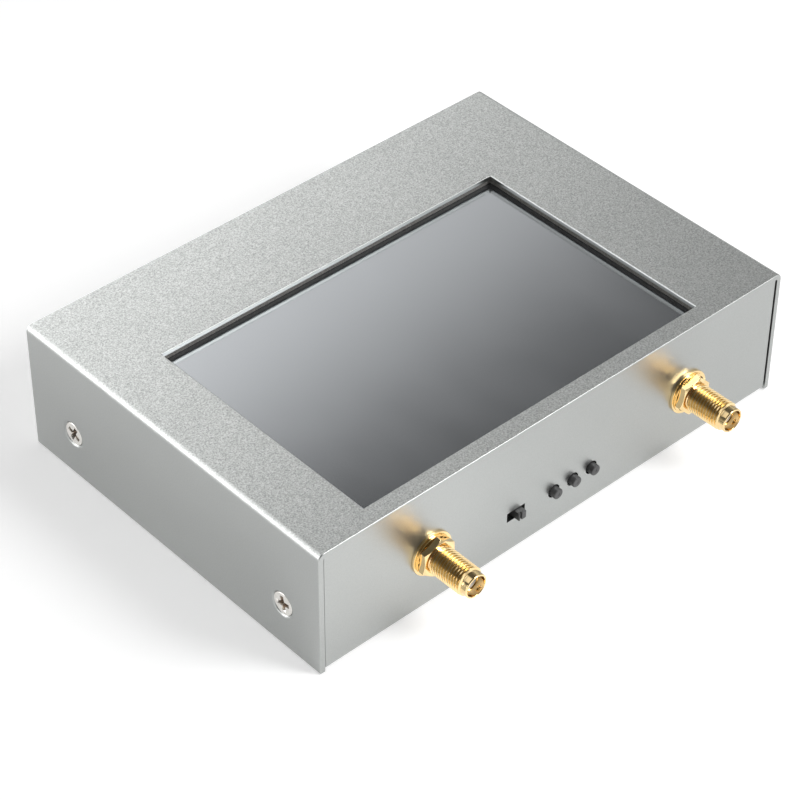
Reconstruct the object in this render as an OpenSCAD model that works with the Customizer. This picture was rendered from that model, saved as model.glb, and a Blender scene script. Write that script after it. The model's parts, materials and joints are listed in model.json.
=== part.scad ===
// Two-port antenna analyzer in a folded sheet-metal case, with a touch screen, two
// threaded coaxial connectors, a slide switch and three push buttons.
// Origin: centre of the case, on the underside of the bottom plate. +X is to the right of
// the connector face, +Y to the back, +Z up. Millimetres.

/* [Case] */
// Width of the case over the side walls
case_w = 126; // [122:1:150]
// Depth of the case from the connector face to the back
case_d = 89.5; // [88:0.5:120]
// Height of the case from the table to the top plate
case_h = 31; // [30:0.5:40]
// Thickness of the sheet metal
sheet_t = 1.2; // [1:0.1:1.4]
// Inside radius of the cover's two bends
cover_bend_in = 0.3; // [0.2:0.1:0.8]
// Inside radius of the chassis bends
chassis_bend_in = 0.8; // [0.5:0.1:1.2]
// Gap between each side wall and the end of the front panel
side_gap = 0.3; // [0.2:0.05:0.4]
// Gap between the top plate and the upper edge of the front panel
seam_gap = 0.1; // [0.05:0.05:0.2]
// Height of the side walls' lower edges above the table
wall_lift = 0.2; // [0.1:0.1:0.5]
// Width of the bent ears that take the side screws
ear_w = 12; // [10:0.5:14]
// Height of the ears above the table
ear_h = 16.5; // [15:0.5:18]
// Width of the relief slits beside each ear
ear_relief = 1; // [0.6:0.1:1.5]

/* [Screen] */
// Width of the window in the top plate, as a share of the case's width
window_w_share = 0.7127; // [0.68:0.0001:0.715]
// Depth of the window, as a share of the case's depth
window_d_share = 0.6726; // [0.62:0.0001:0.68]
// Where the window starts from the left side, as a share of the case's width
window_left_share = 0.1183; // [0.114:0.0001:0.12]
// Where the window starts from the connector face, as a share of the case's depth
window_front_share = 0.0475; // [0.047:0.0001:0.055]
// Thickness of the foam gasket between the touch panel and the top plate
gasket_t = 1.1; // [0.8:0.1:1.3]
// Distance that the gasket stands back from the window's edge
gasket_setback = 0.8; // [0.5:0.1:0.9]
// Width of the gasket's foam strip
gasket_w = 1.6; // [1.2:0.1:1.7]
// Thickness of the touch panel
touch_t = 1.1; // [0.9:0.1:1.3]
// Thickness of the liquid crystal glass
lcd_t = 1.3; // [1:0.1:1.5]
// Distance that the display stands back from the touch panel's edge
lcd_inset = 1.2; // [0.8:0.1:1.6]
// Thickness of the backlight tray
tray_t = 2; // [1.8:0.1:2.4]
// Wall of the backlight tray
tray_wall = 0.9; // [0.6:0.1:1.2]
// Floor of the backlight tray
tray_floor = 0.5; // [0.4:0.1:0.7]
// Thickness of the tape under the display
tape_t = 0.3; // [0.2:0.1:0.5]
// Width of the display's flexible ribbon, as a share of the window's depth
ribbon_w_share = 0.365; // [0.3:0.005:0.4]
// Width of the touch panel's flexible ribbon
touch_ribbon_w = 6; // [5:0.5:8]
// Thickness of the flexible ribbons
ribbon_t = 0.2; // [0.15:0.05:0.3]

/* [Boards] */
// Thickness of both circuit boards
board_t = 1.6; // [1.2:0.1:1.8]
// Gap between the ears and the edges of the boards
board_side_gap = 2.6; // [2.5:0.1:3]
// Gap between the back panel and the main board
board_back_gap = 1.5; // [1.2:0.1:2]
// Width across the flats of the hexagonal standoffs
standoff_af = 5; // [4.5:0.1:5.2]
// Distance from each board edge to the standoffs beside it
standoff_inset = 3.5; // [3.3:0.1:3.8]
// Distance from the connector face to the front standoffs
standoff_front = 9.75; // [9:0.25:11]
// Distance from the back face to the rear standoffs
standoff_back = 9.75; // [8.5:0.25:11]
// Height of the socket strip, as a share of the gap between the boards
socket_share = 0.66; // [0.5:0.01:0.7]
// Distance between the board-to-board pins
pin_gap = 2.54; // [2:0.02:2.54]
// Number of pins in each of the header's two rows
pin_count = 8; // [4:1:10]
// Side of each square pin
pin_side = 0.64; // [0.5:0.02:0.7]
// Height of the shield cans, as a share of the gap between the boards
can_share = 0.4; // [0.3:0.01:0.42]
// Width of each shield can
can_w = 22; // [18:1:24]
// Depth of each shield can
can_d = 26; // [20:1:28]
// Side of the processor's square body
processor_side = 12; // [10:0.5:14]
// Number of leads on each side of the processor
lead_count = 12; // [8:1:14]

/* [Connectors] */
// Distance of the left connector's axis from the middle, as a share of the case's width
sma_left_share = 0.277; // [0.25:0.001:0.29]
// Distance of the right connector's axis from the middle, as a share of the case's width
sma_right_share = 0.288; // [0.25:0.001:0.29]
// Height of the connectors' axes above the table, as a share of the case's height
sma_z_share = 0.4613; // [0.455:0.0001:0.48]
// Distance that the connectors stand out of the panel
sma_reach = 12.7; // [11.5:0.1:14]
// Diameter over the crests of the connector thread
thread_d = 6.35; // [6:0.05:6.5]
// Distance between the crests of the connector thread
thread_step = 0.7056; // [0.6:0.0002:0.8]
// Diameter of the plain tip of the connector
neck_d = 5.4; // [5.3:0.05:5.5]
// Length of the plain tip of the connector
neck_len = 1.4; // [1:0.1:2]
// Bore that the mating connector enters
socket_d = 4.6; // [4.4:0.05:4.8]
// Depth of that bore
socket_depth = 2; // [1.5:0.1:2.5]
// Diameter of the white insulator
insulator_d = 4.1; // [3.6:0.05:4.2]
// Diameter of the centre contact
contact_d = 1.27; // [1.2:0.01:1.4]
// Diameter of the contact's solder tail
tail_d = 0.9; // [0.7:0.05:1]
// Width across the flats of the connector nut
nut_af = 7.8; // [7.6:0.05:8.5]
// Thickness of the connector nut
nut_t = 1.6; // [1.4:0.1:2.6]
// Diameter of the flat washer
flat_washer_d = 10; // [9.2:0.1:10.4]
// Thickness of the flat washer
flat_washer_t = 0.6; // [0.5:0.05:1]
// Diameter of the toothed lock washer
lock_washer_d = 9; // [8.6:0.1:9.4]
// Thickness of the toothed lock washer
lock_washer_t = 0.4; // [0.3:0.05:0.8]
// Number of teeth in the lock washer
tooth_count = 9; // [6:1:14]
// Thickness of the flange behind the panel
flange_t = 1.6; // [1.4:0.1:2]
// Width of that flange
flange_w = 9; // [8:0.1:10]
// Height of that flange
flange_h = 8; // [7.6:0.1:8.6]
// Distance of the charging socket from the middle, as a share of the case's width
usb_share = 0.19; // [0.17:0.01:0.25]

/* [Controls] */
// Distance of the first button to the left of the middle, as a share of the case's width
button_first_share = 0.0127; // [0.008:0.0001:0.02]
// Distance from one button to the next, as a share of the case's width
button_spacing_share = 0.0417; // [0.04:0.0001:0.05]
// Height of the buttons' axes above the table, as a share of the case's height
button_z_share = 0.3145; // [0.31:0.0005:0.32]
// Diameter of the button stems
button_d = 2.4; // [2.2:0.05:2.6]
// Diameter of the button holes in the panel
button_hole_d = 3.1; // [2.9:0.05:3.4]
// Distance that the buttons stand out of the panel
button_reach = 1.4; // [1:0.1:2]
// Travel of the buttons
button_travel = 0.25; // [0.2:0.01:0.26]
// Distance of the switch slot to the left of the middle, as a share of the case's width
slot_share = 0.096; // [0.092:0.001:0.1]
// Height of the switch slot's centre above the table, as a share of the case's height
slot_z_share = 0.3323; // [0.326:0.0001:0.336]
// Width of the switch slot
slot_w = 4.85; // [4.6:0.05:5.2]
// Height of the switch slot
slot_h = 2.3; // [2.2:0.05:2.6]
// Width of the switch lever
lever_w = 2; // [1.6:0.1:2.2]
// Height of the switch lever
lever_h = 2.1; // [1.8:0.05:2.1]
// Distance that the lever stands out of the panel
lever_reach = 1.45; // [1:0.05:2]
// Travel of the switch lever
lever_travel = 1.5; // [1:0.05:2]
// Distance of the switch's middle to the left of its slot's middle
switch_offset = 0.25; // [0:0.05:0.4]

/* [Fasteners] */
// Nominal diameter of the case and board screws
screw_d = 3; // [2.5:0.1:3]
// Diameter of the countersunk heads
head_d = 5.5; // [5:0.1:5.6]
// Overall length of the countersunk screws
screw_len = 5; // [4.6:0.1:5.4]
// Depth of the screw heads below the sheet's outer face
head_recess = 0.15; // [0.05:0.05:0.25]
// Distance from the connector face to the front side screws
side_screw_front = 10.9; // [10:0.1:12]
// Distance from the back face to the rear side screws
side_screw_back = 13.4; // [12:0.1:15]
// Height of the side screws above the table, as a share of the case's height
side_screw_z_share = 0.3516; // [0.34:0.0001:0.36]
// Diameter of the clinch nuts' bodies
clinch_d = 6.3; // [5.8:0.1:6.6]
// Height of the clinch nuts inside the ears
clinch_h = 1.4; // [1:0.1:1.5]

/* [Battery] */
// Width of the battery cell, as a share of the case's width
battery_w_share = 0.508; // [0.4:0.001:0.52]
// Depth of the battery cell, as a share of the case's depth
battery_d_share = 0.514; // [0.4:0.001:0.55]
// Thickness of the battery cell
battery_t = 7; // [5:0.5:7.5]
// Diameter of the battery leads
lead_d = 1.2; // [0.8:0.1:1.4]

/* [Hidden] */
$fn = 48;
// Overrun of every cut past the face that it leaves
over = 1;
// Running clearance round a piece that moves
run_gap = 0.05;
// Clearance round a piece that is held still
fit_gap = 0.02;
half = 0.5;

// Case
front_y = -case_d*half;
back_y = case_d*half;
cover_bend_out = cover_bend_in+sheet_t;
chassis_bend_out = chassis_bend_in+sheet_t;
chassis_w = case_w-2*(sheet_t+side_gap);
chassis_h = case_h-sheet_t-seam_gap;
ear_x = chassis_w*half;
ear_in_x = ear_x-sheet_t;
front_in_y = front_y+sheet_t;
back_in_y = back_y-sheet_t;
side_screw_ys = [front_y+side_screw_front, back_y-side_screw_back];
side_screw_z = case_h*side_screw_z_share;
sides = [-1, 1];

// Screws: threads are drawn as plain cylinders a hair apart
shank_r = screw_d*half-run_gap;
thread_bore_r = screw_d*half;
clearance_r = screw_d*half+2*run_gap;
head_r = head_d*half;
head_cone_h = head_r-shank_r;
sink_r = head_r+head_recess+run_gap;
recess_w_share = 0.16;
recess_len_share = 0.6;
recess_depth_share = 0.75;
recess_w = head_d*recess_w_share;
recess_len = head_d*recess_len_share;
recess_depth = head_cone_h*recess_depth_share;
ear_hole_share = 0.33;
ear_hole_r = clinch_d*ear_hole_share;

// Screen, from the top plate down
window_w = case_w*window_w_share;
window_d = case_d*window_d_share;
window_x = -case_w*half+case_w*window_left_share+window_w*half;
window_y = front_y+case_d*window_front_share+window_d*half;
gasket_in_w = window_w+2*gasket_setback;
gasket_in_d = window_d+2*gasket_setback;
touch_w = gasket_in_w+2*gasket_w;
touch_d = gasket_in_d+2*gasket_w;
gasket_z = case_h-sheet_t-gasket_t;
touch_z = gasket_z-touch_t;
lcd_z = touch_z-lcd_t;
tray_z = lcd_z-tray_t;
tape_z = tray_z-tape_t;
display_board_z = tape_z-board_t;
lcd_w = touch_w-2*lcd_inset;
lcd_d = touch_d-2*lcd_inset;
guide_w = lcd_w-2*tray_wall;
guide_d = lcd_d-2*tray_wall;
lcd_right_x = window_x+lcd_w*half;
touch_right_x = window_x+touch_w*half;

// Boards
solder_t = 0.05;
sma_z = case_h*sma_z_share;
sma_left_x = case_w*sma_left_share;
sma_right_x = case_w*sma_right_share;
button_z = case_h*button_z_share;
slot_x = case_w*slot_share;
switch_x = slot_x+switch_offset;
slot_z = case_h*slot_z_share;
board_top = sma_z-tail_d*half-solder_t;
board_bottom = board_top-board_t;
board_w = 2*(ear_in_x-board_side_gap);
board_front_y = front_in_y+flange_t;
board_back_y = back_in_y-board_back_gap;
board_d = board_back_y-board_front_y;
board_mid_y = (board_front_y+board_back_y)*half;
standoff_x = board_w*half-standoff_inset;
standoff_ys = [front_y+standoff_front, back_y-standoff_back];
standoff_r = standoff_af*half/cos(30);
stud_bite = 3;
stud_len = board_t+stud_bite;
standoff_mouth = 0.5;
board_gap = display_board_z-board_top;
boss_share = 0.6;
boss_depth = board_gap*boss_share;
pan_bite_share = 0.7;
pan_head_h = 1.8;
pan_head_r = 2.7;
pan_len = board_t+boss_depth*pan_bite_share;

// Board-to-board connector
header_y = back_y-standoff_back;
strip_w = pin_count*pin_gap;
strip_d = 2*pin_gap;
socket_h = board_gap*socket_share;
strip_h = board_gap-socket_h;
pin_hole = pin_side+2*fit_gap;
pin_tail = 0.8;
pin_rows = [-half, half];

// Ribbons and their connectors
connector_h = 1;
connector_d = 4;
ribbon_run = 6;
ribbon_share = 0.05;
ribbon_w = window_d*ribbon_w_share;
touch_ribbon_share = 0.27;
ribbon_y = window_y-window_d*ribbon_share;
touch_ribbon_y = window_y+window_d*touch_ribbon_share;
ribbon_steps = 12;

// Connectors
crest_r = thread_d*half;
thread_depth_share = 0.54;
thread_depth = thread_step*thread_depth_share;
root_r = crest_r-thread_depth;
// Under the nut, where the two threads mesh, the barrel is a plain cylinder of this radius
mesh_depth_share = 0.8;
mesh_r = crest_r-thread_depth*mesh_depth_share;
thread_lead_share = 0.25;
thread_start = flat_washer_t+lock_washer_t+nut_t+thread_step*thread_lead_share;
neck_r = neck_d*half;
insulator_r = insulator_d*half;
// Along the pitch and up the thread's depth, for the four corners of each crest
crest_shares = [[0.1, 0], [0.42, 1], [0.68, 1], [1, 0]];
thread_end = sma_reach-neck_len;
thread_turns = floor((thread_end-thread_start)/thread_step);
nut_bore_r = mesh_r+fit_gap;
washer_bore_r = crest_r+2*run_gap;
panel_bore_r = crest_r+2*run_gap;
tip_chamfer = 0.25;
flange_back = sheet_t+flange_t;
insulator_front = sma_reach-socket_depth;
leg_len = 4.5;
leg_w = 1.2;
leg_t = 1;
tail_len = 3.5;
contact_bore_share = 0.72;
contact_bore_d = contact_d*contact_bore_share;
contact_bore_depth = 3;
tooth_gap_w = 1;
tooth_depth = 0.85;
nut_chamfer = 0.4;

// Slide switch, measured from the panel's outer face inwards
switch_gap = 0.25;
frame_t = 0.3;
switch_front = sheet_t+switch_gap;
switch_depth = 3.5;
switch_w = 8.6;
switch_below = 2.3;
switch_above = board_bottom-slot_z;
slider_w = 4;
slider_h = 2.7;
slider_depth = 1.1;
slider_gap = 0.1;
wiper_t = 0.25;
lever_rest = lever_travel*half;
cavity_depth = slider_depth+wiper_t+2*slider_gap;
cavity_w = slider_w+lever_travel+2*slider_gap;
cavity_front = switch_front+frame_t;
wiper_front = cavity_front+slider_gap+slider_depth;
switch_back = switch_front+switch_depth;
base_w = switch_w-2*frame_t-2*fit_gap;
frame_slot_w = lever_w+lever_travel+2*slider_gap;
frame_slot_h = lever_h+2*slider_gap;
groove_w_share = 0.18;
groove_place_share = -0.2;
groove_w = lever_w*groove_w_share;
groove_depth = 0.5;
terminal_w = 0.6;
terminal_t = 0.3;
terminal_step = 2;
terminal_inset = 0.7;

// Push buttons, measured the same way
button_w_share = 0.857;
button_w = case_w*button_spacing_share*button_w_share;
button_below = button_w*half;
button_above = board_bottom-button_z;
button_cover_t = 0.2;
button_cavity_r = 1.75;
button_cavity_depth = 1.7;
button_floor = 1;
button_cover_back = switch_front+button_cover_t;
collar_r = button_cavity_r-2*run_gap;
collar_t = 0.5;
nose_share = 0.33;
nose_r = button_d*nose_share;
nose_len = 0.45;
dome_r = button_cavity_r-2*run_gap;
dome_t = 0.1;
dome_base = button_cover_back+button_cavity_depth;
button_back = dome_base+button_floor;
button_pin_x = 1.4;
dome_rise = dome_base-(button_cover_back+fit_gap+collar_t+nose_len+button_travel+run_gap);
stem_chamfer = 0.3;
button_xs = [for (i = [0:2]) case_w*(i*button_spacing_share-button_first_share)];

// Battery
battery_w = case_w*battery_w_share;
battery_d = case_d*battery_d_share;
battery_x_share = -0.048;
battery_y_share = 0.067;
battery_x = case_w*battery_x_share;
battery_y = case_d*battery_y_share;
battery_corner_r = 3;
battery_z = sheet_t+tape_t;
protection_w = 3;
protection_share = 0.52;
protection_d = battery_d*protection_share;
protection_t = 1.6;
protection_x = battery_x+battery_w*half;
protection_z = battery_z+battery_t*half-protection_t*half;
plug_w = 5.8;
plug_len = 6;
plug_h = 4.5;
battery_socket_wall = 0.8;
battery_socket_len = 5;
plug_share = 0.33;
plug_x = board_w*plug_share;
plug_z = board_bottom-battery_socket_wall-run_gap-plug_h*half;
lead_step = 2;
lead_start_x = protection_x+protection_w;
lead_start_z = protection_z+protection_t*half;
lead_straight = 2;
lead_bend_r = (plug_z-lead_start_z)*half;
lead_bite = 2;

// Charging socket
usb_w = 8.94;
usb_h = 3.26;
usb_len = 7.3;
usb_wall = 0.3;
usb_cut_gap = 0.35;
usb_set_back = 0.2;
usb_x = case_w*usb_share;
usb_z = board_top+usb_h*half;
tongue_w = 6.7;
tongue_t = 0.7;
tongue_short = 1;
tongue_base = 1.5;
round_share = 0.49;

// Chips and shields
can_wall = 0.25;
can_gap = 2;
can_h = board_gap*can_share;
can_y = board_front_y+leg_len+can_gap+can_d*half;
can_chip_share = 0.22;
can_chip_w = 4.4;
chip_t = 1;
processor_t = 1.4;
lead_len = 1;
lead_t = 0.15;
lead_w_share = 0.45;
lead_span_share = 0.9;
crystal_w = 8;
crystal_d = 3.6;
crystal_h = 3;
passive_w = 1.6;
passive_d = 0.8;
passive_t = 0.5;
passive_step = 3;
passive_count = 7;
// Places on the main board, as shares of its width and depth from the middle
processor_shares = [0, 0.09];
crystal_shares = [-0.13, 0.12];
passive_shares = [[-0.08, -0.05], [-0.08, 0.24], [-0.39, 0], [0.26, 0.02]];
support_chip_shares = [[-0.26, 0.12], [0.16, 0.1], [-0.35, 0.28], [0.3, 0.28]];
support_chip_sizes = [[5, 4], [6, 5], [7, 7], [4, 3]];

// Basic shapes

module slab(w, d, t) {
    translate([-w*half, -d*half, 0])
        cube([w, d, t]);
}

module round_slab(w, d, t, r) {
    linear_extrude(t)
        round_plate(w, d, r);
}

module round_plate(w, d, r) {
    square([w-2*r, d], center = true);
    square([w, d-2*r], center = true);
    for (sx = sides, sy = sides)
        translate([sx*(w*half-r), sy*(d*half-r)])
            circle(r);
}

// A rectangle on the X axis with its two lower corners rounded
module round_bottom(w, h, r) {
    translate([-w*half, r])
        square([w, h-r]);
    translate([r-w*half, 0])
        square([w-2*r, h]);
    for (s = sides)
        translate([s*(w*half-r), r])
            circle(r);
}

// The section of a sheet folded twice into a U, its bottom on the X axis
module folded_sheet(w, h, r_out, r_in) {
    difference() {
        round_bottom(w, h, r_out);
        translate([0, sheet_t])
            round_bottom(w-2*sheet_t, h, r_in);
    }
}

// Places its children on the connector face, their +Z pointing out of it
module at_front(x, z) {
    translate([x, front_y, z])
        rotate([90, 0, 0])
            children();
}

// The same on the back face
module at_back(x, z) {
    translate([x, back_y, z])
        rotate([-90, 0, 0])
            children();
}

// The same on both side walls, at the front and the rear screws
module at_side_screws() {
    for (s = sides, y = side_screw_ys)
        translate([s*case_w*half, y, side_screw_z])
            rotate([0, s*90, 0])
                children();
}

module at_standoffs(z) {
    for (s = sides, y = standoff_ys)
        translate([s*standoff_x, y, z])
            children();
}

module at_connectors() {
    for (x = [-sma_left_x, sma_right_x])
        at_front(x, sma_z)
            children();
}

module at_buttons() {
    for (x = button_xs)
        at_front(x, button_z)
            children();
}

// Fasteners

module cross_recess(depth) {
    for (a = [0, 90])
        rotate(a)
            translate([0, 0, -depth])
                slab(recess_len, recess_w, depth+over);
}

// A countersunk screw whose sheet face is at zero
module countersunk_screw(length) {
    difference() {
        union() {
            translate([0, 0, -head_recess-head_cone_h])
                cylinder(h = head_cone_h, r1 = shank_r, r2 = head_r);
            translate([0, 0, -length])
                cylinder(h = length-head_recess, r = shank_r);
        }
        translate([0, 0, -head_recess])
            cross_recess(recess_depth);
    }
}

// The hole for it, through a sheet that lies below zero
module countersink() {
    translate([0, 0, -sink_r])
        cylinder(h = sink_r, r1 = 0, r2 = sink_r);
    cylinder(h = over, r = sink_r);
    translate([0, 0, -sheet_t-over])
        cylinder(h = sheet_t+over, r = clearance_r);
}

module case_screws() {
    color("silver")
        at_side_screws()
            countersunk_screw(screw_len);
}

module base_screws() {
    color("silver")
        at_standoffs(0)
            mirror([0, 0, 1])
                countersunk_screw(screw_len);
}

module clinch_nuts() {
    color("silver")
        at_side_screws()
            translate([0, 0, -sheet_t-side_gap])
                difference() {
                    union() {
                        translate([0, 0, -sheet_t])
                            cylinder(h = sheet_t, r = ear_hole_r);
                        translate([0, 0, -sheet_t-clinch_h])
                            cylinder(h = clinch_h, r = clinch_d*half);
                    }
                    translate([0, 0, -sheet_t-clinch_h-over])
                        cylinder(h = sheet_t+clinch_h+2*over, r = thread_bore_r);
                }
}

module hex_post(length) {
    cylinder(h = length, r = standoff_r, $fn = 6);
}

module lower_standoffs() {
    post = board_bottom-sheet_t;
    color("goldenrod")
        at_standoffs(sheet_t)
            difference() {
                hex_post(post);
                translate([0, 0, -over])
                    cylinder(h = post+2*over, r = thread_bore_r);
                cylinder(h = standoff_mouth, r1 = thread_bore_r+standoff_mouth, r2 = thread_bore_r);
            }
}

module upper_standoffs() {
    color("goldenrod")
        at_standoffs(board_top)
            difference() {
                union() {
                    hex_post(board_gap);
                    translate([0, 0, -stud_len])
                        cylinder(h = stud_len+over, r = shank_r);
                }
                translate([0, 0, board_gap-boss_depth])
                    cylinder(h = boss_depth+over, r = thread_bore_r);
            }
}

module display_screws() {
    color("silver")
        at_standoffs(display_board_z+board_t)
            difference() {
                union() {
                    cylinder(h = pan_head_h, r = pan_head_r);
                    translate([0, 0, -pan_len])
                        cylinder(h = pan_len, r = shank_r);
                }
                translate([0, 0, pan_head_h])
                    cross_recess(pan_head_h*half);
            }
}

// Case

// The cover is one sheet: the top plate and two side walls, with the screen's window
module top_cover() {
    color([0.69, 0.7, 0.69])
        difference() {
            translate([0, back_y, case_h])
                rotate([90, 0, 0])
                    linear_extrude(case_d)
                        mirror([0, 1, 0])
                            folded_sheet(case_w, case_h-wall_lift, cover_bend_out, cover_bend_in);
            translate([window_x, window_y, case_h-sheet_t-over])
                slab(window_w, window_d, sheet_t+2*over);
            at_side_screws()
                countersink();
        }
}

// The chassis is the other sheet: bottom, connector panel, back panel and four ears
module bottom_chassis() {
    color([0.74, 0.75, 0.74])
        difference() {
            union() {
                difference() {
                    translate([-chassis_w*half, 0, 0])
                        rotate([90, 0, 90])
                            linear_extrude(chassis_w)
                                folded_sheet(case_d, chassis_h, chassis_bend_out, chassis_bend_in);
                    for (s = sides, y = side_screw_ys)
                        translate([s*ear_x, y, -over])
                            slab(2*chassis_bend_out, ear_w+2*ear_relief, sheet_t+2*over);
                }
                for (y = side_screw_ys) {
                    ear(y);
                    mirror([1, 0, 0])
                        ear(y);
                }
            }
            at_side_screws()
                translate([0, 0, -2*sheet_t-side_gap-over])
                    cylinder(h = sheet_t+2*over, r = ear_hole_r);
            at_connectors()
                panel_hole(panel_bore_r);
            at_buttons()
                panel_hole(button_hole_d*half);
            at_front(-slot_x, slot_z)
                translate([0, 0, -sheet_t-over])
                    slab(slot_w, slot_h, sheet_t+2*over);
            at_back(usb_x, usb_z)
                translate([0, 0, -sheet_t-over])
                    round_slab(usb_w+2*usb_cut_gap, usb_h+2*usb_cut_gap, sheet_t+2*over,
                        usb_h*half);
            at_standoffs(0)
                mirror([0, 0, 1])
                    countersink();
        }
}

module panel_hole(r) {
    translate([0, 0, -sheet_t-over])
        cylinder(h = sheet_t+2*over, r = r);
}

// One ear on the right side, bent up from the bottom plate
module ear(y) {
    translate([0, y+ear_w*half, 0])
        rotate([90, 0, 0])
            linear_extrude(ear_w)
                ear_section();
}

module ear_section() {
    bend_x = ear_x-chassis_bend_out;
    translate([ear_in_x, chassis_bend_out])
        square([sheet_t, ear_h-chassis_bend_out]);
    translate([bend_x, chassis_bend_out])
        difference() {
            circle(chassis_bend_out);
            circle(chassis_bend_in);
            translate([-2*chassis_bend_out, -2*chassis_bend_out])
                square([2*chassis_bend_out, 4*chassis_bend_out]);
            translate([-2*chassis_bend_out, 0])
                square(4*chassis_bend_out);
        }
}

// Boards

module main_board() {
    color([0.05, 0.3, 0.16])
        difference() {
            translate([-board_w*half, board_front_y, board_bottom])
                cube([board_w, board_d, board_t]);
            at_standoffs(board_bottom-over)
                cylinder(h = board_t+2*over, r = clearance_r);
            button_pins(fit_gap);
            switch_pins(fit_gap);
        }
}

module display_board() {
    color([0.05, 0.3, 0.16])
        difference() {
            translate([-board_w*half, board_front_y, display_board_z])
                cube([board_w, board_d, board_t]);
            at_standoffs(display_board_z-over)
                cylinder(h = board_t+2*over, r = clearance_r);
            pins(pin_hole);
        }
}

// The pins of the board-to-board header, at a given width
module pins(w) {
    for (i = [0:pin_count-1], row = pin_rows)
        translate([(i+half)*pin_gap-strip_w*half, header_y+row*pin_gap, board_top+pin_gap*half])
            slab(w, w, display_board_z+board_t+pin_tail-board_top-pin_gap*half);
}

module header_pins() {
    color("gold")
        pins(pin_side);
}

module board_socket() {
    color([0.1, 0.1, 0.1])
        difference() {
            translate([0, header_y, board_top])
                slab(strip_w, strip_d, socket_h);
            pins(pin_hole);
        }
}

module board_header() {
    color([0.15, 0.15, 0.15])
        difference() {
            translate([0, header_y, board_top+socket_h])
                slab(strip_w, strip_d, strip_h);
            pins(pin_hole);
        }
}

// Screen

module display_gasket() {
    color([0.45, 0.45, 0.45])
        translate([window_x, window_y, gasket_z])
            difference() {
                slab(touch_w, touch_d, gasket_t);
                translate([0, 0, -over])
                    slab(gasket_in_w, gasket_in_d, gasket_t+2*over);
            }
}

module touch_panel() {
    color([0.12, 0.13, 0.14])
        translate([window_x, window_y, touch_z])
            slab(touch_w, touch_d, touch_t);
}

module lcd_glass() {
    color([0.2, 0.22, 0.24])
        translate([window_x, window_y, lcd_z])
            slab(lcd_w, lcd_d, lcd_t);
}

module light_guide() {
    color("white")
        translate([window_x, window_y, tray_z+tray_floor])
            slab(guide_w-2*fit_gap, guide_d-2*fit_gap, tray_t-tray_floor);
}

module backlight_tray() {
    color([0.8, 0.8, 0.78])
        translate([window_x, window_y, tray_z])
            difference() {
                slab(lcd_w, lcd_d, tray_t);
                translate([0, 0, tray_floor])
                    slab(guide_w, guide_d, tray_t);
            }
}

module display_tape() {
    color([0.9, 0.9, 0.85])
        translate([window_x, window_y, tape_z])
            slab(guide_w, guide_d, tape_t);
}

// A flat ribbon that leaves an edge at a height and comes down to the display board
module ribbon(x, y, z, w) {
    drop = z-display_board_z-board_t-connector_h*half+ribbon_t*half;
    path = [for (i = [0:ribbon_steps]) [x+ribbon_run*i/ribbon_steps,
        z-drop*(1-cos(180*i/ribbon_steps))*half]];
    translate([0, y+w*half, 0])
        rotate([90, 0, 0])
            linear_extrude(w)
                polygon(concat(path, [for (i = [0:ribbon_steps]) path[ribbon_steps-i]+[0, ribbon_t]]));
}

module ribbon_socket(x, y, w) {
    translate([x+ribbon_run, y-w*half-connector_h, display_board_z+board_t])
        cube([connector_d, w+2*connector_h, connector_h]);
}

module display_ribbon() {
    color([0.75, 0.45, 0.12])
        ribbon(lcd_right_x, ribbon_y, lcd_z+ribbon_t, ribbon_w);
}

module ribbon_connector() {
    color([0.9, 0.88, 0.8])
        ribbon_socket(lcd_right_x, ribbon_y, ribbon_w);
}

module touch_ribbon() {
    color([0.75, 0.45, 0.12])
        ribbon(touch_right_x, touch_ribbon_y, touch_z+ribbon_t, touch_ribbon_w);
}

module touch_connector() {
    color([0.9, 0.88, 0.8])
        ribbon_socket(touch_right_x, touch_ribbon_y, touch_ribbon_w);
}

// Coaxial connectors

// Half the section of the threaded barrel, with its ring crests
module barrel_section() {
    crests = [for (i = [0:thread_turns-1], q = crest_shares)
        [root_r+thread_depth*q[1], thread_start+(i+q[0])*thread_step]];
    polygon(concat(
        [[insulator_r, -flange_back], [mesh_r, -flange_back], [mesh_r, thread_start]],
        crests,
        [[neck_r, thread_start+thread_turns*thread_step],
            [neck_r, sma_reach-tip_chamfer],
            [neck_r-tip_chamfer, sma_reach],
            [socket_d*half, sma_reach],
            [socket_d*half, insulator_front],
            [insulator_r, insulator_front]]));
}

// Barrel, flange and the four legs that hold the edge of the main board
module sma_body(x) {
    color("gold") {
        at_front(x, sma_z)
            union() {
                rotate_extrude()
                    barrel_section();
                translate([0, 0, -flange_back])
                    difference() {
                        slab(flange_w, flange_h, flange_t);
                        translate([0, 0, -over])
                            cylinder(h = flange_t+2*over, r = (insulator_r+mesh_r)*half);
                    }
                for (s = sides) {
                    leg(s, board_top-sma_z);
                    leg(s, board_bottom-leg_t-sma_z);
                }
            }
    }
}

// One leg; its lower face is at a height over the connector's axis
module leg(s, z) {
    translate([s*(flange_w-leg_w)*half-leg_w*half, z, -flange_back-leg_len])
        cube([leg_w, leg_t, leg_len]);
}

module sma_body_left() {
    sma_body(-sma_left_x);
}

module sma_body_right() {
    sma_body(sma_right_x);
}

module sma_insulators() {
    color("white")
        at_connectors()
            translate([0, 0, -flange_back])
                difference() {
                    cylinder(h = flange_back+insulator_front, r = insulator_r-fit_gap);
                    translate([0, 0, -over])
                        cylinder(h = flange_back+insulator_front+2*over, r = contact_d*half+fit_gap);
                }
}

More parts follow.
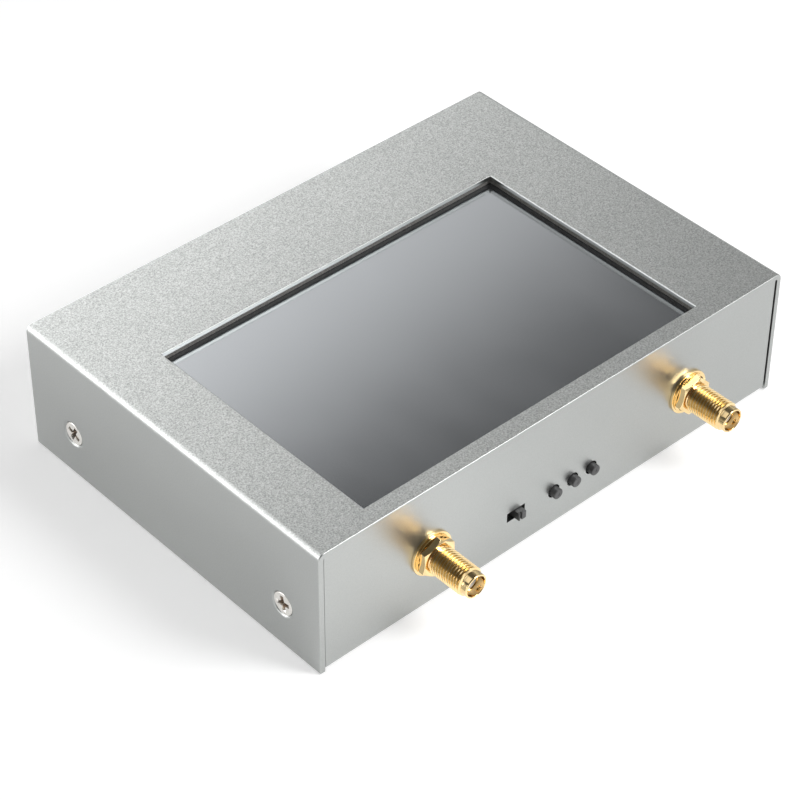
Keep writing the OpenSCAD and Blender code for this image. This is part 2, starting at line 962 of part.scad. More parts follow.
module sma_contacts() {
    color("gold")
        at_connectors()
            difference() {
                union() {
                    translate([0, 0, -flange_back])
                        cylinder(h = flange_back+insulator_front, r = contact_d*half);
                    translate([0, 0, -flange_back-tail_len])
                        cylinder(h = tail_len, r = tail_d*half);
                }
                translate([0, 0, insulator_front-contact_bore_depth])
                    cylinder(h = contact_bore_depth+over, r = contact_bore_d*half);
            }
}

module ring(r_out, r_in, t) {
    difference() {
        cylinder(h = t, r = r_out);
        translate([0, 0, -over])
            cylinder(h = t+2*over, r = r_in);
    }
}

module sma_flat_washers() {
    color("gold")
        at_connectors()
            ring(flat_washer_d*half, washer_bore_r, flat_washer_t);
}

module sma_lock_washers() {
    color("gold")
        at_connectors()
            translate([0, 0, flat_washer_t])
                difference() {
                    ring(lock_washer_d*half, washer_bore_r, lock_washer_t);
                    for (i = [0:tooth_count-1])
                        rotate(i*360/tooth_count)
                            translate([washer_bore_r, 0, -over])
                                slab(2*tooth_depth, tooth_gap_w, lock_washer_t+2*over);
                }
}

module sma_nuts() {
    nut_r = nut_af*half/cos(30);
    color("gold")
        at_connectors()
            translate([0, 0, flat_washer_t+lock_washer_t])
                difference() {
                    intersection() {
                        cylinder(h = nut_t, r = nut_r, $fn = 6);
                        union() {
                            cylinder(h = nut_t-nut_chamfer, r = nut_r);
                            translate([0, 0, nut_t-nut_chamfer])
                                cylinder(h = nut_chamfer, r1 = nut_r, r2 = nut_r-nut_chamfer/tan(30));
                        }
                    }
                    translate([0, 0, -over])
                        cylinder(h = nut_t+2*over, r = nut_bore_r);
                }
}

// Slide switch, its pieces placed behind the slot

module in_switch() {
    at_front(-switch_x, slot_z)
        children();
}

// A box centred on the axis in X and Z, from one depth behind the panel's face to another
module box_behind(w, h, near, far) {
    translate([-w*half, -h*half, -far])
        cube([w, h, far-near]);
}

module power_switch_frame() {
    color("silver")
        in_switch()
            difference() {
                translate([-switch_w*half, -switch_below, -switch_back])
                    cube([switch_w, switch_below+switch_above, switch_depth]);
                translate([-base_w*half-fit_gap, -switch_below+frame_t, -switch_back-over])
                    cube([base_w+2*fit_gap, switch_below+switch_above, switch_depth-frame_t+over]);
                box_behind(frame_slot_w, frame_slot_h, switch_front-over, switch_back);
            }
}

module power_switch_base() {
    color([0.12, 0.12, 0.12])
        difference() {
            in_switch()
                difference() {
                    translate([-base_w*half, -switch_below+frame_t, -switch_back])
                        cube([base_w, switch_below+switch_above-frame_t, switch_depth-frame_t]);
                    box_behind(cavity_w, slider_h+2*slider_gap, cavity_front-over, cavity_front+cavity_depth);
                }
            switch_pins(fit_gap);
        }
}

// The three terminals, from inside the base up through the main board
module switch_pins(gap) {
    for (i = [-1:1])
        translate([i*terminal_step-switch_x, front_y+switch_back-terminal_inset, slot_z])
            slab(terminal_w+2*gap, terminal_t+2*gap, board_top-slot_z+pin_tail);
}

module power_switch_terminals() {
    color("silver")
        switch_pins(0);
}

// The slider with its lever, drawn at the right end of its travel
module power_switch_lever() {
    color([0.2, 0.2, 0.21])
        in_switch()
            translate([lever_rest, 0, 0])
                difference() {
                    union() {
                        box_behind(slider_w, slider_h, cavity_front+slider_gap, wiper_front);
                        box_behind(lever_w, lever_h, -lever_reach, wiper_front);
                    }
                    translate([lever_w*groove_place_share, 0, 0])
                        box_behind(groove_w, lever_h+2*over, -lever_reach-over, groove_depth-lever_reach);
                }
}

module power_switch_wiper() {
    color("goldenrod")
        in_switch()
            translate([lever_rest, 0, 0])
                box_behind(slider_w-2*slider_gap, slider_h*half, wiper_front, wiper_front+wiper_t);
}

// Push buttons

module button_base(i) {
    color([0.12, 0.12, 0.12])
        difference() {
            at_front(button_xs[i], button_z)
                difference() {
                    translate([-button_w*half, -button_below, -button_back])
                        cube([button_w, button_below+button_above, button_back-button_cover_back]);
                    translate([0, 0, -dome_base])
                        cylinder(h = button_cavity_depth+over, r = button_cavity_r);
                }
            button_pins(fit_gap);
        }
}

module button_base_left() {
    button_base(0);
}

module button_base_middle() {
    button_base(1);
}

module button_base_right() {
    button_base(2);
}

module button_covers() {
    color("silver")
        at_buttons()
            difference() {
                translate([-button_w*half, -button_below, -button_cover_back])
                    cube([button_w, button_below+button_above, button_cover_t]);
                translate([0, 0, -button_cover_back-over])
                    cylinder(h = button_cover_t+2*over, r = button_d*half+run_gap);
            }
}

module button_domes() {
    ball_r = (dome_r*dome_r+dome_rise*dome_rise)/(2*dome_rise);
    color("silver")
        at_buttons()
            translate([0, 0, -dome_base])
                rotate_extrude()
                    intersection() {
                        translate([0, dome_rise-ball_r])
                            difference() {
                                circle(ball_r);
                                circle(ball_r-dome_t);
                            }
                        square([dome_r, dome_rise]);
                    }
}

module button_stem(i) {
    collar_front = button_cover_back+fit_gap;
    color([0.14, 0.14, 0.15])
        at_front(button_xs[i], button_z) {
            translate([0, 0, -collar_front])
                cylinder(h = collar_front+button_reach-stem_chamfer, r = button_d*half);
            translate([0, 0, button_reach-stem_chamfer])
                cylinder(h = stem_chamfer, r1 = button_d*half, r2 = button_d*half-stem_chamfer);
            translate([0, 0, -collar_front-collar_t])
                cylinder(h = collar_t, r = collar_r);
            translate([0, 0, -collar_front-collar_t-nose_len])
                cylinder(h = nose_len, r = nose_r);
        }
}

module button_stem_left() {
    button_stem(0);
}

module button_stem_middle() {
    button_stem(1);
}

module button_stem_right() {
    button_stem(2);
}

// Two terminals for each button, up through the main board
module button_pins(gap) {
    for (x = button_xs, s = sides)
        translate([x+s*button_pin_x, front_y+button_back-button_floor*half, button_z])
            slab(terminal_w+2*gap, terminal_t+2*gap, board_top-button_z+pin_tail);
}

module button_terminals() {
    color("silver")
        button_pins(0);
}

// Battery

module battery_cell() {
    color([0.75, 0.76, 0.78])
        translate([battery_x, battery_y, battery_z])
            round_slab(battery_w, battery_d, battery_t, battery_corner_r);
}

module battery_tape() {
    color([0.95, 0.95, 0.9])
        translate([battery_x, battery_y, sheet_t])
            slab(battery_w-2*battery_corner_r, battery_d-2*battery_corner_r, tape_t);
}

module battery_board() {
    color([0.05, 0.3, 0.16])
        translate([protection_x+protection_w*half, battery_y, protection_z])
            slab(protection_w, protection_d, protection_t);
}

// One lead: out of the protection board, up in two bends and into the plug
module battery_lead(y) {
    translate([lead_start_x, y, lead_start_z])
        rotate([90, 0, 0])
            lead_path();
}

module lead_path() {
    lead_run(lead_straight);
    translate([lead_straight, lead_bend_r, 0])
        rotate(-90)
            lead_bend();
    translate([lead_straight+2*lead_bend_r, lead_bend_r, 0])
        rotate(90)
            lead_bend();
    translate([lead_straight+2*lead_bend_r, 2*lead_bend_r, 0])
        lead_run(plug_x-lead_start_x-lead_straight-2*lead_bend_r+lead_bite);
}

module lead_run(length) {
    rotate([0, 90, 0])
        cylinder(h = length, r = lead_d*half);
}

module lead_bend() {
    rotate_extrude(angle = 90)
        translate([lead_bend_r, 0])
            circle(lead_d*half);
}

module battery_lead_red() {
    color("red")
        battery_lead(battery_y-lead_step*half);
}

module battery_lead_black() {
    color([0.1, 0.1, 0.1])
        battery_lead(battery_y+lead_step*half);
}

module battery_plug() {
    color("white")
        translate([plug_x, battery_y, plug_z])
            difference() {
                translate([0, -plug_w*half, -plug_h*half])
                    cube([plug_len, plug_w, plug_h]);
                for (s = sides)
                    translate([-over, s*lead_step*half, 0])
                        rotate([0, 90, 0])
                            cylinder(h = lead_bite+over, r = lead_d*half+fit_gap);
            }
}

module battery_socket() {
    outer_w = plug_w+2*(battery_socket_wall+run_gap);
    outer_h = plug_h+2*(battery_socket_wall+run_gap);
    color([0.9, 0.88, 0.8])
        translate([plug_x+plug_len*half, battery_y, plug_z])
            difference() {
                translate([0, -outer_w*half, -outer_h*half])
                    cube([battery_socket_len, outer_w, outer_h]);
                translate([-over, -plug_w*half-run_gap, -plug_h*half-run_gap])
                    cube([over+plug_len*half+run_gap, plug_w+2*run_gap, plug_h+2*run_gap]);
            }
}

// Charging socket

module usb_shell() {
    color("silver")
        at_back(usb_x, usb_z)
            translate([0, 0, -usb_set_back-usb_len])
                difference() {
                    round_slab(usb_w, usb_h, usb_len, usb_h*round_share);
                    translate([0, 0, -over])
                        round_slab(usb_w-2*usb_wall, usb_h-2*usb_wall, usb_len+2*over,
                            (usb_h-2*usb_wall)*round_share);
                }
}

module usb_tongue() {
    color([0.1, 0.1, 0.1])
        at_back(usb_x, usb_z)
            translate([0, 0, -usb_set_back-usb_len])
                union() {
                    round_slab(usb_w-2*usb_wall-2*fit_gap, usb_h-2*usb_wall-2*fit_gap, tongue_base,
                        (usb_h-2*usb_wall)*round_share-fit_gap);
                    translate([0, -tongue_t*half, tongue_base-fit_gap])
                        translate([-tongue_w*half, 0, 0])
                            cube([tongue_w, tongue_t, usb_len-tongue_base-tongue_short]);
                }
}

// Chips and shields

module shield_cans() {
    color("silver")
        for (x = [-sma_left_x, sma_right_x])
            translate([x, can_y, board_top])
                difference() {
                    slab(can_w, can_d, can_h);
                    translate([0, 0, -over])
                        slab(can_w-2*can_wall, can_d-2*can_wall, can_h-can_wall+over);
                }
}

// Places its children on the main board's upper face, at shares of its size from the middle
module on_board(shares) {
    translate([board_w*shares[0], board_mid_y+board_d*shares[1], board_top])
        children();
}

module rf_chips() {
    color([0.1, 0.1, 0.1])
        for (x = [-sma_left_x, sma_right_x], s = sides)
            translate([x, can_y+s*can_d*can_chip_share, board_top])
                slab(can_chip_w, can_chip_w, chip_t);
}

module support_chips() {
    color([0.1, 0.1, 0.1])
        for (i = [0:len(support_chip_shares)-1])
            on_board(support_chip_shares[i])
                slab(support_chip_sizes[i][0], support_chip_sizes[i][1], chip_t);
}

module passives() {
    color([0.6, 0.5, 0.35])
        for (shares = passive_shares, i = [0:passive_count-1])
            on_board(shares)
                translate([i*passive_step, 0, 0])
                    slab(passive_w, passive_d, passive_t);
}

module processor_chip() {
    color([0.1, 0.1, 0.1])
        on_board(processor_shares) {
            slab(processor_side, processor_side, processor_t);
            for (a = [0:90:270], i = [0:lead_count-1])
                rotate(a)
                    translate([processor_side*half+lead_len*half-fit_gap,
                        processor_side*lead_span_share*((i+half)/lead_count-half), 0])
                        slab(lead_len, lead_w_share*processor_side/lead_count, lead_t);
        }
}

module crystal() {
    color("silver")
        on_board(crystal_shares)
            round_slab(crystal_w, crystal_d, crystal_h, crystal_d*round_share);
}

top_cover();
bottom_chassis();
clinch_nuts();
case_screws();
base_screws();
lower_standoffs();
upper_standoffs();
display_screws();
main_board();
display_board();
display_gasket();
touch_panel();
lcd_glass();
light_guide();
backlight_tray();
display_tape();
display_ribbon();
ribbon_connector();
touch_ribbon();
touch_connector();
board_socket();
board_header();
header_pins();
sma_body_left();
sma_body_right();
sma_insulators();
sma_contacts();
sma_flat_washers();
sma_lock_washers();
sma_nuts();
power_switch_base();
power_switch_frame();
power_switch_lever();
power_switch_wiper();
power_switch_terminals();
button_base_left();
button_base_middle();
button_base_right();
button_covers();
button_domes();
button_stem_left();
button_stem_middle();
button_stem_right();
button_terminals();
battery_cell();
battery_board();
battery_tape();
battery_lead_red();
battery_lead_black();
battery_plug();
battery_socket();
usb_shell();
usb_tongue();
shield_cans();
processor_chip();
rf_chips();
support_chips();
passives();
crystal();
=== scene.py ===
"""The dressed antenna analyzer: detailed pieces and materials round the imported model, studio and camera."""

import json
import math

import bmesh
import bpy
from mathutils import Euler, Matrix, Vector


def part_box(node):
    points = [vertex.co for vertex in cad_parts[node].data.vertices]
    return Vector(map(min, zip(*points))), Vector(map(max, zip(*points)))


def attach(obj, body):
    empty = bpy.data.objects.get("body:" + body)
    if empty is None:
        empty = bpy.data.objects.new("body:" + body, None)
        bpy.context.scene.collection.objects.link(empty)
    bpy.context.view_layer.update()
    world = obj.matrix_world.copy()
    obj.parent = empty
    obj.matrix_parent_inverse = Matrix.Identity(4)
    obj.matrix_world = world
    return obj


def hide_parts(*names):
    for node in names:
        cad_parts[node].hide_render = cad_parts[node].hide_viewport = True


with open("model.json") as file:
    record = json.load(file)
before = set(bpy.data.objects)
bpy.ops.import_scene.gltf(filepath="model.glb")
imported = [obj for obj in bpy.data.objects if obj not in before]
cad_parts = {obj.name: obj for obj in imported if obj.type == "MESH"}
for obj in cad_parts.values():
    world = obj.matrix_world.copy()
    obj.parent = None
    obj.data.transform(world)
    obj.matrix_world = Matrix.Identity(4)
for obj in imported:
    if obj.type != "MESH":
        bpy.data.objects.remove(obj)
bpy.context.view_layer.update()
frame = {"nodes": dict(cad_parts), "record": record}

# Shapes are made in millimetres, and a finished piece is in metres
MM = 0.001


def box_mm(node):
    """Lowest and highest corner of a CAD node"""
    low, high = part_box(node)
    return low / MM, high / MM


def middle(node):
    low, high = box_mm(node)
    return (low + high) / 2


# Camera: place in metres, turn in degrees, as the photograph was taken
CAMERA_PLACE = (-0.29365, -0.31854, 0.37584)
CAMERA_TURN = (49.36, -0.28, -42.22)
CAMERA_LENS = 122.8
CAMERA_SENSOR = 36
CAMERA_NEAR = 0.01

# Points closer than this are one, in millimetres
SAME_PLACE = 1e-5

# Edges sharper than this are rounded or drawn sharp, in degrees
SHARP_ANGLE = 35

# Sheet metal
SHEET_T = 1.2
COVER_BEND = 1.5
CHASSIS_BEND = 2.0
SIDE_GAP = 0.3
SEAM_GAP = 0.01
PANEL_SHIFT = 0.17
EDGE_ROUND = 0.25
cover_low, cover_high = box_mm("top_cover")
chassis_half = box_mm("bottom_chassis")[1].x
FRONT_Y = cover_low.y
BACK_Y = cover_high.y
CASE_H = cover_high.z
WALL_LOW = cover_low.z
EAR_W = 12
EAR_H = 16.5
EAR_RELIEF = 1

# How far a cutter reaches past what it cuts
OVER = 1
THROUGH_PANEL = (-SHEET_T - OVER, OVER)

# The window, from the gasket under it
GASKET_BACK = 2.4
FOAM_BACK = 0.3
FOAM_ROUND = 0.15
gasket_low, gasket_high = box_mm("display_gasket")
WINDOW_LOW = (gasket_low.x + GASKET_BACK, gasket_low.y + GASKET_BACK)
WINDOW_HIGH = (gasket_high.x - GASKET_BACK, gasket_high.y - GASKET_BACK)

# Fasteners
SHANK_R = 1.45
HEAD_R = 2.75
HEAD_TOP_R = 2.6
HEAD_LOW = 0.2
HEAD_CONE = 1.3
HEAD_RIM_LOW = 0.12
HEAD_RIM_HIGH = 0.06
HEAD_RIM_IN = 0.07
SCREW_LEN = 5
SCREW_TIP = 0.3
SCREW_ROUND = 0.05
SINK_R = 3
CLEARANCE_R = 1.6
RECESS_W = 1
RECESS_LEN = 3.6
RECESS_DEPTH = 1.3
RECESS_OVER = 0.3
# Heights over the head, and the shares of the recess's length and width there
RECESS_LEVELS = ((RECESS_OVER, 1.06, 1.08), (0, 1, 1), (-RECESS_DEPTH, 0.62, 0.66))
# Radii and heights of the point that the cross ends in
RECESS_POINT = ((0, -RECESS_DEPTH * 1.15), (0.55, -RECESS_DEPTH * 0.8), (0.9, RECESS_OVER), (0, RECESS_OVER))
CLINCH_HOLE_R = 2.08

# Connectors, measured along their axes from the panel's face
PORTS = ("left", "right")
PANEL_BORE_R = 3.275
CREST_R = 3.175
THREAD_STEP = 0.7056
THREAD_DEPTH = 0.43
THREAD_FROM = 2.78
THREAD_TURNS = 12
THREAD_STEPS = 48
THREAD_LEAD = 0.6
THREAD_LEAST = 0.06
THREAD_SUNK = 0.06
RIDGE_W = 0.9
MESH_R = 2.87
NECK_R = 2.7
TIP_AT = 12.7
TIP_ROUND = 0.25
SOCKET_R = 2.3
SOCKET_DEPTH = 2
SOCKET_LIP = 0.08
INSULATOR_R = 2.05
INSULATOR_GAP = 0.02
INSULATOR_LIP = 0.1
CONTACT_R = 0.635
CONTACT_BORE_R = 0.457
CONTACT_BORE_DEPTH = 3
CONTACT_LIP = 0.12
CONTACT_SLOT_W = 0.2
CONTACT_SLOT_LEN = 2.4
TAIL_R = 0.45
TAIL_LEN = 3.5
FLANGE = (9, 8, 1.6)
FLANGE_BACK = -SHEET_T - FLANGE[2]
LEG = (1.2, 1, 4.5)
LEG_SUNK = 0.1
FLAT_WASHER_R = 5
FLAT_WASHER_T = 0.6
FLAT_WASHER_ROUND = 0.12
LOCK_WASHER_R = 4.5
LOCK_WASHER_T = 0.4
LOCK_RING_SHARE = 0.8
LOCK_WASHER_ROUND = 0.04
WASHER_BORE_R = 3.275
TEETH = 9
TOOTH_W = 1.3
TOOTH_LEN = 0.85
TOOTH_T_SHARE = 0.6
TOOTH_SUNK = 0.1
TOOTH_GAP = 0.02
TOOTH_TWIST = 9
NUT_AF = 7.8
NUT_T = 1.6
NUT_CHAMFER = 0.4
NUT_BACK_SHARE = 0.35
NUT_MOUTH_DEPTH = 0.3
NUT_MOUTH_R = CREST_R + 0.05
NUT_MOUTH_OVER = 0.01
NUT_ROUND = 0.07
NUT_ANGLE = 20
NUT_BORE_R = 2.89
port_z = middle("sma_insulators").z

# Switch and buttons
SLOT_W = 4.85
SLOT_H = 2.3
SLOT_FROM_LEVER = -0.5
LEVER_W = 2
LEVER_H = 1.9
LEVER_DROP = 0.08
GROOVE_W = 0.36
GROOVE_X = -0.4
GROOVE_DEPTH = 0.5
SLIDER_FRONT = 1.85
SLIDER_ROUND = 0.1
LEVER_SUNK = 0.1
LEVER_ROUND = 0.24
BUTTONS = ("left", "middle", "right")
BUTTON_R = 1.2
BUTTON_HOLE_R = 1.55
BUTTON_ROUND = 0.22
BUTTON_MARK = 0.5
BUTTON_MARK_DEPTH = 0.06
COLLAR_FRONT = 1.67
COLLAR_R = 1.65
COLLAR_T = 0.5
NOSE_R = 0.792
NOSE_LEN = 0.45

# Charging socket
USB_CUT_GAP = 0.35
usb_middle = middle("usb_shell")
usb_size = box_mm("usb_shell")[1] - box_mm("usb_shell")[0]


# Shapes in millimetres


def arc(centre, radius, start, end, steps=8):
    """Points of an arc, its angles in degrees"""
    turns = [math.radians(start + (end - start) * i / steps) for i in range(steps + 1)]
    return [(centre[0] + radius * math.cos(a), centre[1] + radius * math.sin(a)) for a in turns]


def shape(rings, closed=False):
    """A helper object whose skin runs from ring to ring of points"""
    bm = bmesh.new()
    made = [[bm.verts.new(p) for p in ring] for ring in rings]
    pairs = list(zip(made, made[1:]))
    if closed:
        pairs.append((made[-1], made[0]))
    for low, high in pairs:
        for i in range(len(low)):
            bm.faces.new((low[i - 1], low[i], high[i], high[i - 1]))
    if not closed:
        bm.faces.new(made[0][::-1])
        bm.faces.new(made[-1])
    bmesh.ops.remove_doubles(bm, verts=bm.verts, dist=SAME_PLACE)
    bmesh.ops.dissolve_degenerate(bm, edges=bm.edges, dist=SAME_PLACE)
    bmesh.ops.recalc_face_normals(bm, faces=bm.faces)
    mesh = bpy.data.meshes.new("helper")
    bm.to_mesh(mesh)
    bm.free()
    obj = bpy.data.objects.new("helper", mesh)
    bpy.context.scene.collection.objects.link(obj)
    return obj


def prism(outline, low, high):
    """An outline in X and Y, from one height to another"""
    return shape([[(x, y, z) for x, y in outline] for z in (low, high)])


def block(low, high):
    outline = [(low[0], low[1]), (high[0], low[1]), (high[0], high[1]), (low[0], high[1])]
    return prism(outline, low[2], high[2])


def slab(width, depth, low, high):
    """A block centred on the Z axis"""
    return block((-width / 2, -depth / 2, low), (width / 2, depth / 2, high))


def lathe(profile, steps=64, closed=False):
    """A profile of radius and height, turned round the Z axis"""
    turns = [2 * math.pi * i / steps for i in range(steps)]
    rings = [[(r * math.cos(a), r * math.sin(a), z) for a in turns] for r, z in profile]
    return shape(rings, closed=closed)


def tube(r_in, r_out, low, high):
    return lathe([(r_in, low), (r_out, low), (r_out, high), (r_in, high)], closed=True)


def disc(radius, low, high):
    return lathe([(radius, low), (radius, high)])


def applied(obj):
    """The helper with its modifiers made part of its mesh"""
    graph = bpy.context.evaluated_depsgraph_get()
    mesh = bpy.data.meshes.new_from_object(obj.evaluated_get(graph))
    obj.modifiers.clear()
    old = obj.data
    obj.data = mesh
    bpy.data.meshes.remove(old)
    return obj


def combined(obj, tools, operation):
    for tool in tools:
        modifier = obj.modifiers.new("combine", "BOOLEAN")
        modifier.operation = operation
        modifier.solver = "EXACT"
        modifier.object = tool
    applied(obj)
    for tool in tools:
        bpy.data.meshes.remove(tool.data)
    return obj


def cut(obj, *tools):
    return combined(obj, tools, "DIFFERENCE")


def united(obj, *tools):
    return combined(obj, tools, "UNION")


def common(obj, *tools):
    return combined(obj, tools, "INTERSECT")


def rounded(obj, width, steps=2, angle=SHARP_ANGLE, kept=None):
    """Every edge sharper than an angle, rounded, but for those whose ends both pass a test"""
    bm = bmesh.new()
    bm.from_mesh(obj.data)
    weight = bm.edges.layers.float.new("bevel_weight_edge")
    for edge in bm.edges:
        steep = edge.calc_face_angle(0) > math.radians(angle)
        left = kept and all(kept(vert.co) for vert in edge.verts)
        edge[weight] = 1 if steep and not left else 0
    bm.to_mesh(obj.data)
    bm.free()
    modifier = obj.modifiers.new("round", "BEVEL")
    modifier.width = width
    modifier.segments = steps
    modifier.limit_method = "WEIGHT"
    return applied(obj)


def moved(obj, matrix):
    obj.data.transform(matrix)
    if matrix.determinant() < 0:
        obj.data.flip_normals()
    return obj


def shifted(obj, x=0, y=0, z=0):
    return moved(obj, Matrix.Translation((x, y, z)))


def turned(obj, degrees, axis="Z"):
    return moved(obj, Matrix.Rotation(math.radians(degrees), 4, axis))


def on_front(x, z):
    """Sets +Z out of the connector face, with X to the right and Y up"""
    return Matrix(((1, 0, 0, x), (0, 0, -1, FRONT_Y), (0, 1, 0, z), (0, 0, 0, 1)))


def on_side(side, y, z):
    """The same for a side wall: 1 is the right one and -1 the left one"""
    face = cover_high.x * side
    return Matrix(((0, 0, side, face), (side, 0, 0, y), (0, 1, 0, z), (0, 0, 0, 1)))


def on_bottom(x, y):
    """The same for the underside"""
    return Matrix(((1, 0, 0, x), (0, -1, 0, y), (0, 0, -1, 0), (0, 0, 0, 1)))


def finished(obj, name, material, slot, body, *nodes):
    """Turns a helper into a named piece of the part, in metres"""
    modifier = obj.modifiers.new("normals", "WEIGHTED_NORMAL")
    modifier.keep_sharp = True
    mesh = obj.data
    mesh.shade_smooth()
    mesh.set_sharp_from_angle(angle=math.radians(SHARP_ANGLE))
    applied(obj)
    obj.data.transform(Matrix.Scale(MM, 4))
    obj.name = name
    obj.data.name = name
    obj.data.materials.clear()
    obj.data.materials.append(material)
    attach(obj, body)
    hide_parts(*nodes)
    return obj


# Case


def folded_outline(width, height, bend):
    """The section of a sheet folded twice into a U, its bottom on the X axis"""
    half = width / 2
    inner = bend - SHEET_T
    outside = arc((-half + bend, bend), bend, 180, 270) + arc((half - bend, bend), bend, 270, 360)
    inside = arc((half - bend, bend), inner, 360, 270) + arc((-half + bend, bend), inner, 270, 180)
    return [(-half, height)] + outside + [(half, height), (half - SHEET_T, height)] + inside + [
        (-half + SHEET_T, height)
    ]


def countersink():
    """The hole for a countersunk screw, through a sheet below zero"""
    return lathe([
        (0, OVER), (SINK_R, OVER), (SINK_R, 0), (CLEARANCE_R, CLEARANCE_R - SINK_R),
        (CLEARANCE_R, -SHEET_T - OVER), (0, -SHEET_T - OVER),
    ])


def side_screw_places():
    low, high = box_mm("case_screws")
    z = (low.z + high.z) / 2
    return [(side, y, z) for side in (-1, 1) for y in (low.y + HEAD_R, high.y - HEAD_R)]


def base_screw_places():
    low, high = box_mm("base_screws")
    return [(x, y) for x in (low.x + HEAD_R, high.x - HEAD_R) for y in (low.y + HEAD_R, high.y - HEAD_R)]


def on_cover_seam(place):
    """Whether a place is on the cover's inner front edge, round the connector panel"""
    between_walls = abs(place.x) < cover_high.x - SHEET_T + SEAM_GAP
    under_plate = place.z < CASE_H - SHEET_T + SEAM_GAP
    return abs(place.y - FRONT_Y) < SEAM_GAP and between_walls and under_plate


def on_panel_seam(place):
    """Whether a place is on the connector panel's front edge, under the top plate"""
    return abs(place.y - FRONT_Y) < SEAM_GAP and place.z > CASE_H - SHEET_T - 2 * SEAM_GAP


def cover_sheet(material):
    """Top plate and side walls, with the screen's window"""
    outline = [(x, CASE_H - y) for x, y in folded_outline(cover_high.x * 2, CASE_H - WALL_LOW, COVER_BEND)]
    sheet = moved(prism(outline, FRONT_Y, BACK_Y), Matrix.Rotation(math.radians(90), 4, "X"))
    window = block((*WINDOW_LOW, CASE_H - SHEET_T - OVER), (*WINDOW_HIGH, CASE_H + OVER))
    sinks = [moved(countersink(), on_side(*place)) for place in side_screw_places()]
    cut(sheet, window, *sinks)
    rounded(sheet, EDGE_ROUND, steps=3, kept=on_cover_seam)
    return finished(sheet, "cover_sheet", material, "case_sheet", "case", "top_cover")


def screen_gasket(material):
    """The foam strip under the window's edge, squeezed a little way out towards it"""
    low = gasket_low.z
    high = gasket_high.z
    foam = block((gasket_low.x, gasket_low.y, low), (gasket_high.x, gasket_high.y, high))
    cut(foam, block((WINDOW_LOW[0] - FOAM_BACK, WINDOW_LOW[1] - FOAM_BACK, low - OVER),
                    (WINDOW_HIGH[0] + FOAM_BACK, WINDOW_HIGH[1] + FOAM_BACK, high + OVER)))
    rounded(foam, FOAM_ROUND)
    return finished(foam, "screen_gasket", material, "grey_foam", "case", "display_gasket")


def ear(side, y):
    """One ear bent up from the bottom plate beside a side wall"""
    outer = chassis_half
    outline = [(outer, EAR_H), (outer - SHEET_T, EAR_H)]
    outline += arc((outer - CHASSIS_BEND, CHASSIS_BEND), CHASSIS_BEND - SHEET_T, 360, 270)
    outline += arc((outer - CHASSIS_BEND, CHASSIS_BEND), CHASSIS_BEND, 270, 360)
    bent = moved(prism(outline, -EAR_W / 2, EAR_W / 2), Matrix.Rotation(math.radians(90), 4, "X"))
    return moved(bent, Matrix.Translation((0, y, 0)) @ Matrix.Scale(side, 4, (1, 0, 0)))


def ear_relief(side, y):
    """What is cut away from the bottom plate beside an ear"""
    x = side * chassis_half
    reach = EAR_W / 2 + EAR_RELIEF
    low = (x - CHASSIS_BEND, y - reach, -OVER)
    return block(low, (x + CHASSIS_BEND, y + reach, SHEET_T + OVER))


def chassis_holes():
    """Cutters for the holes in the ears, the connector panel, the back panel and the bottom"""
    ear_hole = (-2 * SHEET_T - SIDE_GAP - OVER, -SIDE_GAP)
    holes = [moved(disc(CLINCH_HOLE_R, *ear_hole), on_side(*place)) for place in side_screw_places()]
    holes += [moved(disc(PANEL_BORE_R, *THROUGH_PANEL), on_front(port_x(port), port_z)) for port in PORTS]
    holes += [moved(disc(BUTTON_HOLE_R, *THROUGH_PANEL), button_place(button)) for button in BUTTONS]
    holes.append(moved(slab(SLOT_W, SLOT_H, *THROUGH_PANEL), on_front(slot_x, slot_z)))
    holes.append(usb_cut())
    holes += [moved(countersink(), on_bottom(*place)) for place in base_screw_places()]
    return holes


def chassis_sheet(material):
    """Bottom, connector panel, back panel and ears"""
    outline = folded_outline(BACK_Y - FRONT_Y, CASE_H - SHEET_T - SEAM_GAP, CHASSIS_BEND)
    along_x = Matrix(((0, 0, 1, 0), (1, 0, 0, 0), (0, 1, 0, 0), (0, 0, 0, 1)))
    sheet = moved(prism(outline, -chassis_half - PANEL_SHIFT, chassis_half - PANEL_SHIFT), along_x)
    rounded(sheet, EDGE_ROUND, steps=3, kept=on_panel_seam)
    ear_places = [place[:2] for place in side_screw_places()]
    cut(sheet, *[ear_relief(*place) for place in ear_places])
    united(sheet, *[ear(*place) for place in ear_places])
    cut(sheet, *chassis_holes())
    return finished(sheet, "chassis_sheet", material, "case_sheet", "case", "bottom_chassis")


def usb_cut():
    """The stadium hole for the charging socket in the back panel"""
    height = usb_size.z + 2 * USB_CUT_GAP
    half = (usb_size.x + 2 * USB_CUT_GAP - height) / 2
    outline = arc((half, 0), height / 2, -90, 90, steps=16) + arc((-half, 0), height / 2, 90, 270, steps=16)
    hole = moved(prism(outline, *THROUGH_PANEL), Matrix.Rotation(math.radians(-90), 4, "X"))
    return shifted(hole, usb_middle.x, BACK_Y, usb_middle.z)


# Fasteners


def recess_cutter():
    """A cross that narrows as it goes down, with a point at its bottom"""
    arms = []
    for turn in (0, 90):
        rings = []
        for z, length_share, width_share in RECESS_LEVELS:
            x = RECESS_LEN * length_share / 2
            y = RECESS_W * width_share / 2
            rings.append([(-x, -y, z), (x, -y, z), (x, y, z), (-x, y, z)])
        arms.append(turned(shape(rings), turn))
    return arms + [lathe(RECESS_POINT, steps=24)]


